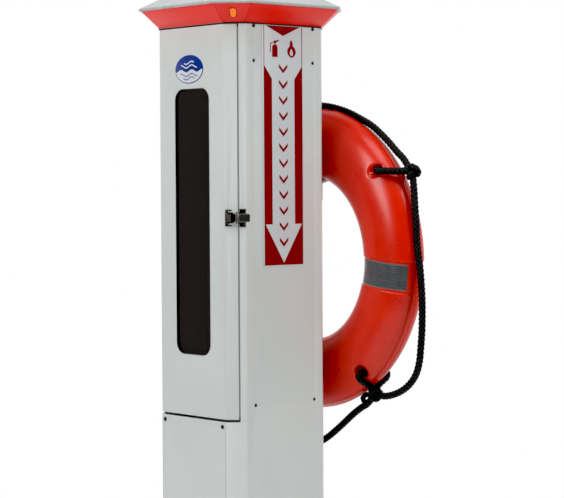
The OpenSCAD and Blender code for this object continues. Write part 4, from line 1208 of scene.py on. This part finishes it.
def waveBands(bands, place):
    parts = []
    for level, reach, half in bands:
        xs = np.linspace(-reach, reach, 30)
        outline = [(x, swellAt(x, level) - half) for x in xs]
        outline += [(x, swellAt(x, level) + half) for x in xs[::-1]]
        parts.append((flatPlate([outline], badge["print"]), place))
    return parts


def makeBadge():
    # an oval enamel plate: pale water under two pale crests, with two blue ripples on the water
    centre = Vector(((badgeLow.x + badgeHigh.x) / 2, badgeLow.y, (badgeLow.z + badgeHigh.z) / 2))
    width, height = (badgeHigh.x - badgeLow.x) / mm, (badgeHigh.z - badgeLow.z) / mm
    place = outward(centre, (0, -1, 0), (0, 0, 1))
    base = flatPlate([ovalOutline(width, height)], badge["thickness"], badge["edge"])
    base.transform(place)
    placePiece("badge_plate", base, finishes["badge_plastic"], "door", ["door_badge"])
    inner = ovalOutline(width - badge["rim"], height - badge["rim"], 96)
    level = badge["waterLevel"]
    lower = sorted([p for p in inner if p[1] < level], key=lambda p: p[0])
    surface = [(x, swellAt(x, level)) for x in np.linspace(lower[-1][0], lower[0][0], 60)]
    first = place @ Matrix.Translation((0, 0, badge["print"] * mm))
    second = place @ Matrix.Translation((0, 0, 2 * badge["print"] * mm))
    parts = [(flatPlate([lower + surface], badge["print"]), first)] + waveBands(badge["crests"], first)
    placePiece("badge_water", joinMeshes("badge_water", parts), badgeWhite, "door")
    ripples = joinMeshes("badge_waves", waveBands(badge["ripples"], second))
    placePiece("badge_waves", ripples, finishes["badge_plastic"], "door")


makeBadge()
print("sign and badge made")

latch = {
    "height": 894.0,
    "leverFace": 9.2,
    "from": 8.6,
    "to": 28.2,
    "inlayWidth": 12.6,
    "inlayHeight": 0.5,
    "inlayCorner": 2.0,
    "tongueFrom": -7.5,
    "tongueTo": 0.5,
    "tongueHeight": 1.5,
}


def onRightChamfer(s, out, z):
    # s runs back along the right front chamfer from its middle, out is away from it
    middle = post["half"] - post["leg"] / 2
    return Vector((middle + (s + out) / math.sqrt(2), -middle + (s - out) / math.sqrt(2), z)) * mm


def makeLeverInlay():
    length, half, corner = latch["to"] - latch["from"], latch["inlayWidth"] / 2, latch["inlayCorner"]
    outline = [(-length / 2, -half), (length / 2 - corner, -half)]
    for step in range(1, 4):
        angle = math.radians(-90 + 30 * step)
        x, y = length / 2 - corner + corner * math.cos(angle), corner - half + corner * math.sin(angle)
        outline.append((x, y))
    outline += [(x, -y) for x, y in reversed(outline)]
    mesh = flatPlate([outline], latch["inlayHeight"], 0.12)
    middle, out = (latch["from"] + latch["to"]) / 2, latch["leverFace"] + latch["inlayHeight"] / 2
    mesh.transform(outward(onRightChamfer(middle, out, latch["height"]), (1, -1, 0), (0, 0, 1)))
    placePiece("lever_inlay", mesh, leverInlay, "latch_lever")


def makeKeeperTongue():
    # the keeper's plate carries on towards the lever as a narrowing tongue under the wire
    start, end = latch["tongueFrom"], latch["tongueTo"]
    lower = [(start, -10.5), (start + 2, -10), (end - 1.5, -7), (end, -5.5)]
    mesh = flatPlate([lower + [(x, -y) for x, y in reversed(lower)]], latch["tongueHeight"], 0.3)
    place = onRightChamfer(0, latch["tongueHeight"] + 0.25, latch["height"])
    mesh.transform(outward(place, (1, -1, 0), (0, 0, 1)))
    placePiece("keeper_tongue", mesh, latchSteel, "door")


makeLeverInlay()
makeKeeperTongue()

trim = {"start": 5.3, "end": 7.5, "depth": 1.2, "backDepth": 4.5, "round": 0.5, "length": 744.0, "low": 513.0}


def makeEdgeTrim():
    # a soft grey strip along the door's free edge closes most of the gap
    low, length = trim["low"], trim["length"]
    mesh = bpy.data.meshes.new("door_edge_trim")
    shape = bmesh.new()
    section = [(trim["start"], trim["depth"]), (trim["end"], trim["depth"])]
    section += [(s, trim["backDepth"]) for s, _ in reversed(section)]
    corners = [onRightChamfer(s, -depth, 0) for s, depth in section]
    base = [shape.verts.new(c + Vector((0, 0, low * mm))) for c in corners]
    top = [shape.verts.new(c + Vector((0, 0, (low + length) * mm))) for c in corners]
    shape.faces.new(base)
    shape.faces.new(top)
    for k in range(4):
        shape.faces.new((base[k], base[(k + 1) % 4], top[(k + 1) % 4], top[k]))
    bmesh.ops.recalc_face_normals(shape, faces=shape.faces)
    bmesh.ops.bevel(
        shape, geom=shape.edges, offset=trim["round"] * mm, segments=3, profile=0.5, affect="EDGES"
    )
    shape.to_mesh(mesh)
    shape.free()
    placePiece("door_edge_trim", mesh, sealGrey, "door")


makeEdgeTrim()

for nodeName, width in (
    ("post_shell", 0.5), ("door_skin", 0.5), ("lower_panel", 0.5), ("base_flange", 1.2),
    ("window_gasket", 0.3),
    ("latch_keeper", 0.3), ("latch_base", 0.3), ("latch_lever", 0.45), ("ring_bracket", 0.8),
    ("driver_box", 1.5),
    ("ext_handle", 0.4), ("ext_lever", 0.4), ("ext_valve", 0.5),
):
    softened(nodeName, width)
print("edges softened")

stage = {"floorRadius": 1.6, "behind": 0.92, "front": 0.17, "below": 0.68, "above": 0.36, "lightsAim": 0.85}
softboxes = {
    "frontSoftbox": {"turn": -4, "height": 30, "far": 3.2, "width": 1.2, "tall": 2.0, "power": 54},
    "rightSoftbox": {"turn": 103, "height": 32, "far": 3.0, "width": 0.8, "tall": 2.0, "power": 38},
    "topSoftbox": {"turn": 60, "height": 70, "far": 3.0, "width": 1.4, "tall": 1.4, "power": 22},
}


def makeStage():
    floor = bpy.data.meshes.new("studio_floor")
    shape = bmesh.new()
    bmesh.ops.create_circle(shape, cap_ends=True, segments=96, radius=stage["floorRadius"])
    shape.to_mesh(floor)
    shape.free()
    material, tree, shader, place = startMaterial(
        "paleFloor", {"Roughness": 0.7, "Emission Color": linear("#FFFFFF"), "Emission Strength": 0.12}
    )
    grain = addNode(tree, "ShaderNodeTexNoise", values={"Scale": 3.0, "Detail": 3}, links={"Vector": place})
    rampColour(tree, shader, grain.outputs["Fac"], [(0.3, "#F1F1F0"), (0.7, "#F6F6F5")])
    floor.materials.append(material)
    ground = bpy.data.objects.new("studio_floor", floor)
    ground.location.z = -0.0005
    scene.collection.objects.link(ground)


def makeWorld():
    # a white backdrop behind the object and a darker room in front; the camera itself sees plain white
    world = bpy.data.worlds.new("softStudio")
    world.use_nodes = True
    tree = world.node_tree
    tree.nodes.clear()
    toward = addNode(tree, "ShaderNodeTexCoord").outputs["Generated"]
    turn = math.radians(viewpoint["azimuth"])
    rearward = (-math.sin(turn), math.cos(turn), 0)
    depth = addNode(tree, "ShaderNodeVectorMath", {"operation": "DOT_PRODUCT"}, {1: rearward}, {0: toward})
    room = addNode(
        tree, "ShaderNodeMapRange",
        values={"From Min": 0.1, "From Max": 0.7, "To Min": stage["front"], "To Max": stage["behind"]},
        links={"Value": depth.outputs["Value"]},
    )
    rise = addNode(tree, "ShaderNodeSeparateXYZ", links={"Vector": toward}).outputs["Z"]
    lighting = room.outputs["Result"]
    for start, end, level in ((-0.1, -0.6, stage["below"]), (0.3, 0.9, stage["above"])):
        glow = addNode(
            tree, "ShaderNodeMapRange",
            values={"From Min": start, "From Max": end, "To Min": 0.0, "To Max": level}, links={"Value": rise},
        )
        brighter = addNode(
            tree, "ShaderNodeMath", {"operation": "MAXIMUM"}, links={0: lighting, 1: glow.outputs["Result"]}
        )
        lighting = brighter.outputs["Value"]
    toCamera = addNode(tree, "ShaderNodeLightPath").outputs["Is Camera Ray"]
    strength = addNode(
        tree, "ShaderNodeMix", {"data_type": "FLOAT"}, {3: 1.0}, {0: toCamera, 2: lighting}
    )
    background = addNode(tree, "ShaderNodeBackground", links={"Strength": strength.outputs[0]})
    background.inputs["Color"].default_value = (1, 1, 1, 1)
    addNode(tree, "ShaderNodeOutputWorld", links={"Surface": background.outputs["Background"]})
    scene.world = world


def addSoftbox(name, values):
    aim = Vector((0, 0, stage["lightsAim"]))
    away = directionAt(values["turn"], values["height"])
    data = bpy.data.lights.new(name, "AREA")
    data.shape, data.energy = "RECTANGLE", values["power"]
    data.size, data.size_y = values["width"], values["tall"]
    lamp = bpy.data.objects.new(name, data)
    lamp.location = aim + away * values["far"]
    lamp.rotation_mode = "QUATERNION"
    lamp.rotation_quaternion = (-away).to_track_quat("-Z", "Y")
    scene.collection.objects.link(lamp)


makeStage()
makeWorld()
for softboxName, softbox in softboxes.items():
    addSoftbox(softboxName, softbox)
print("stage lit")
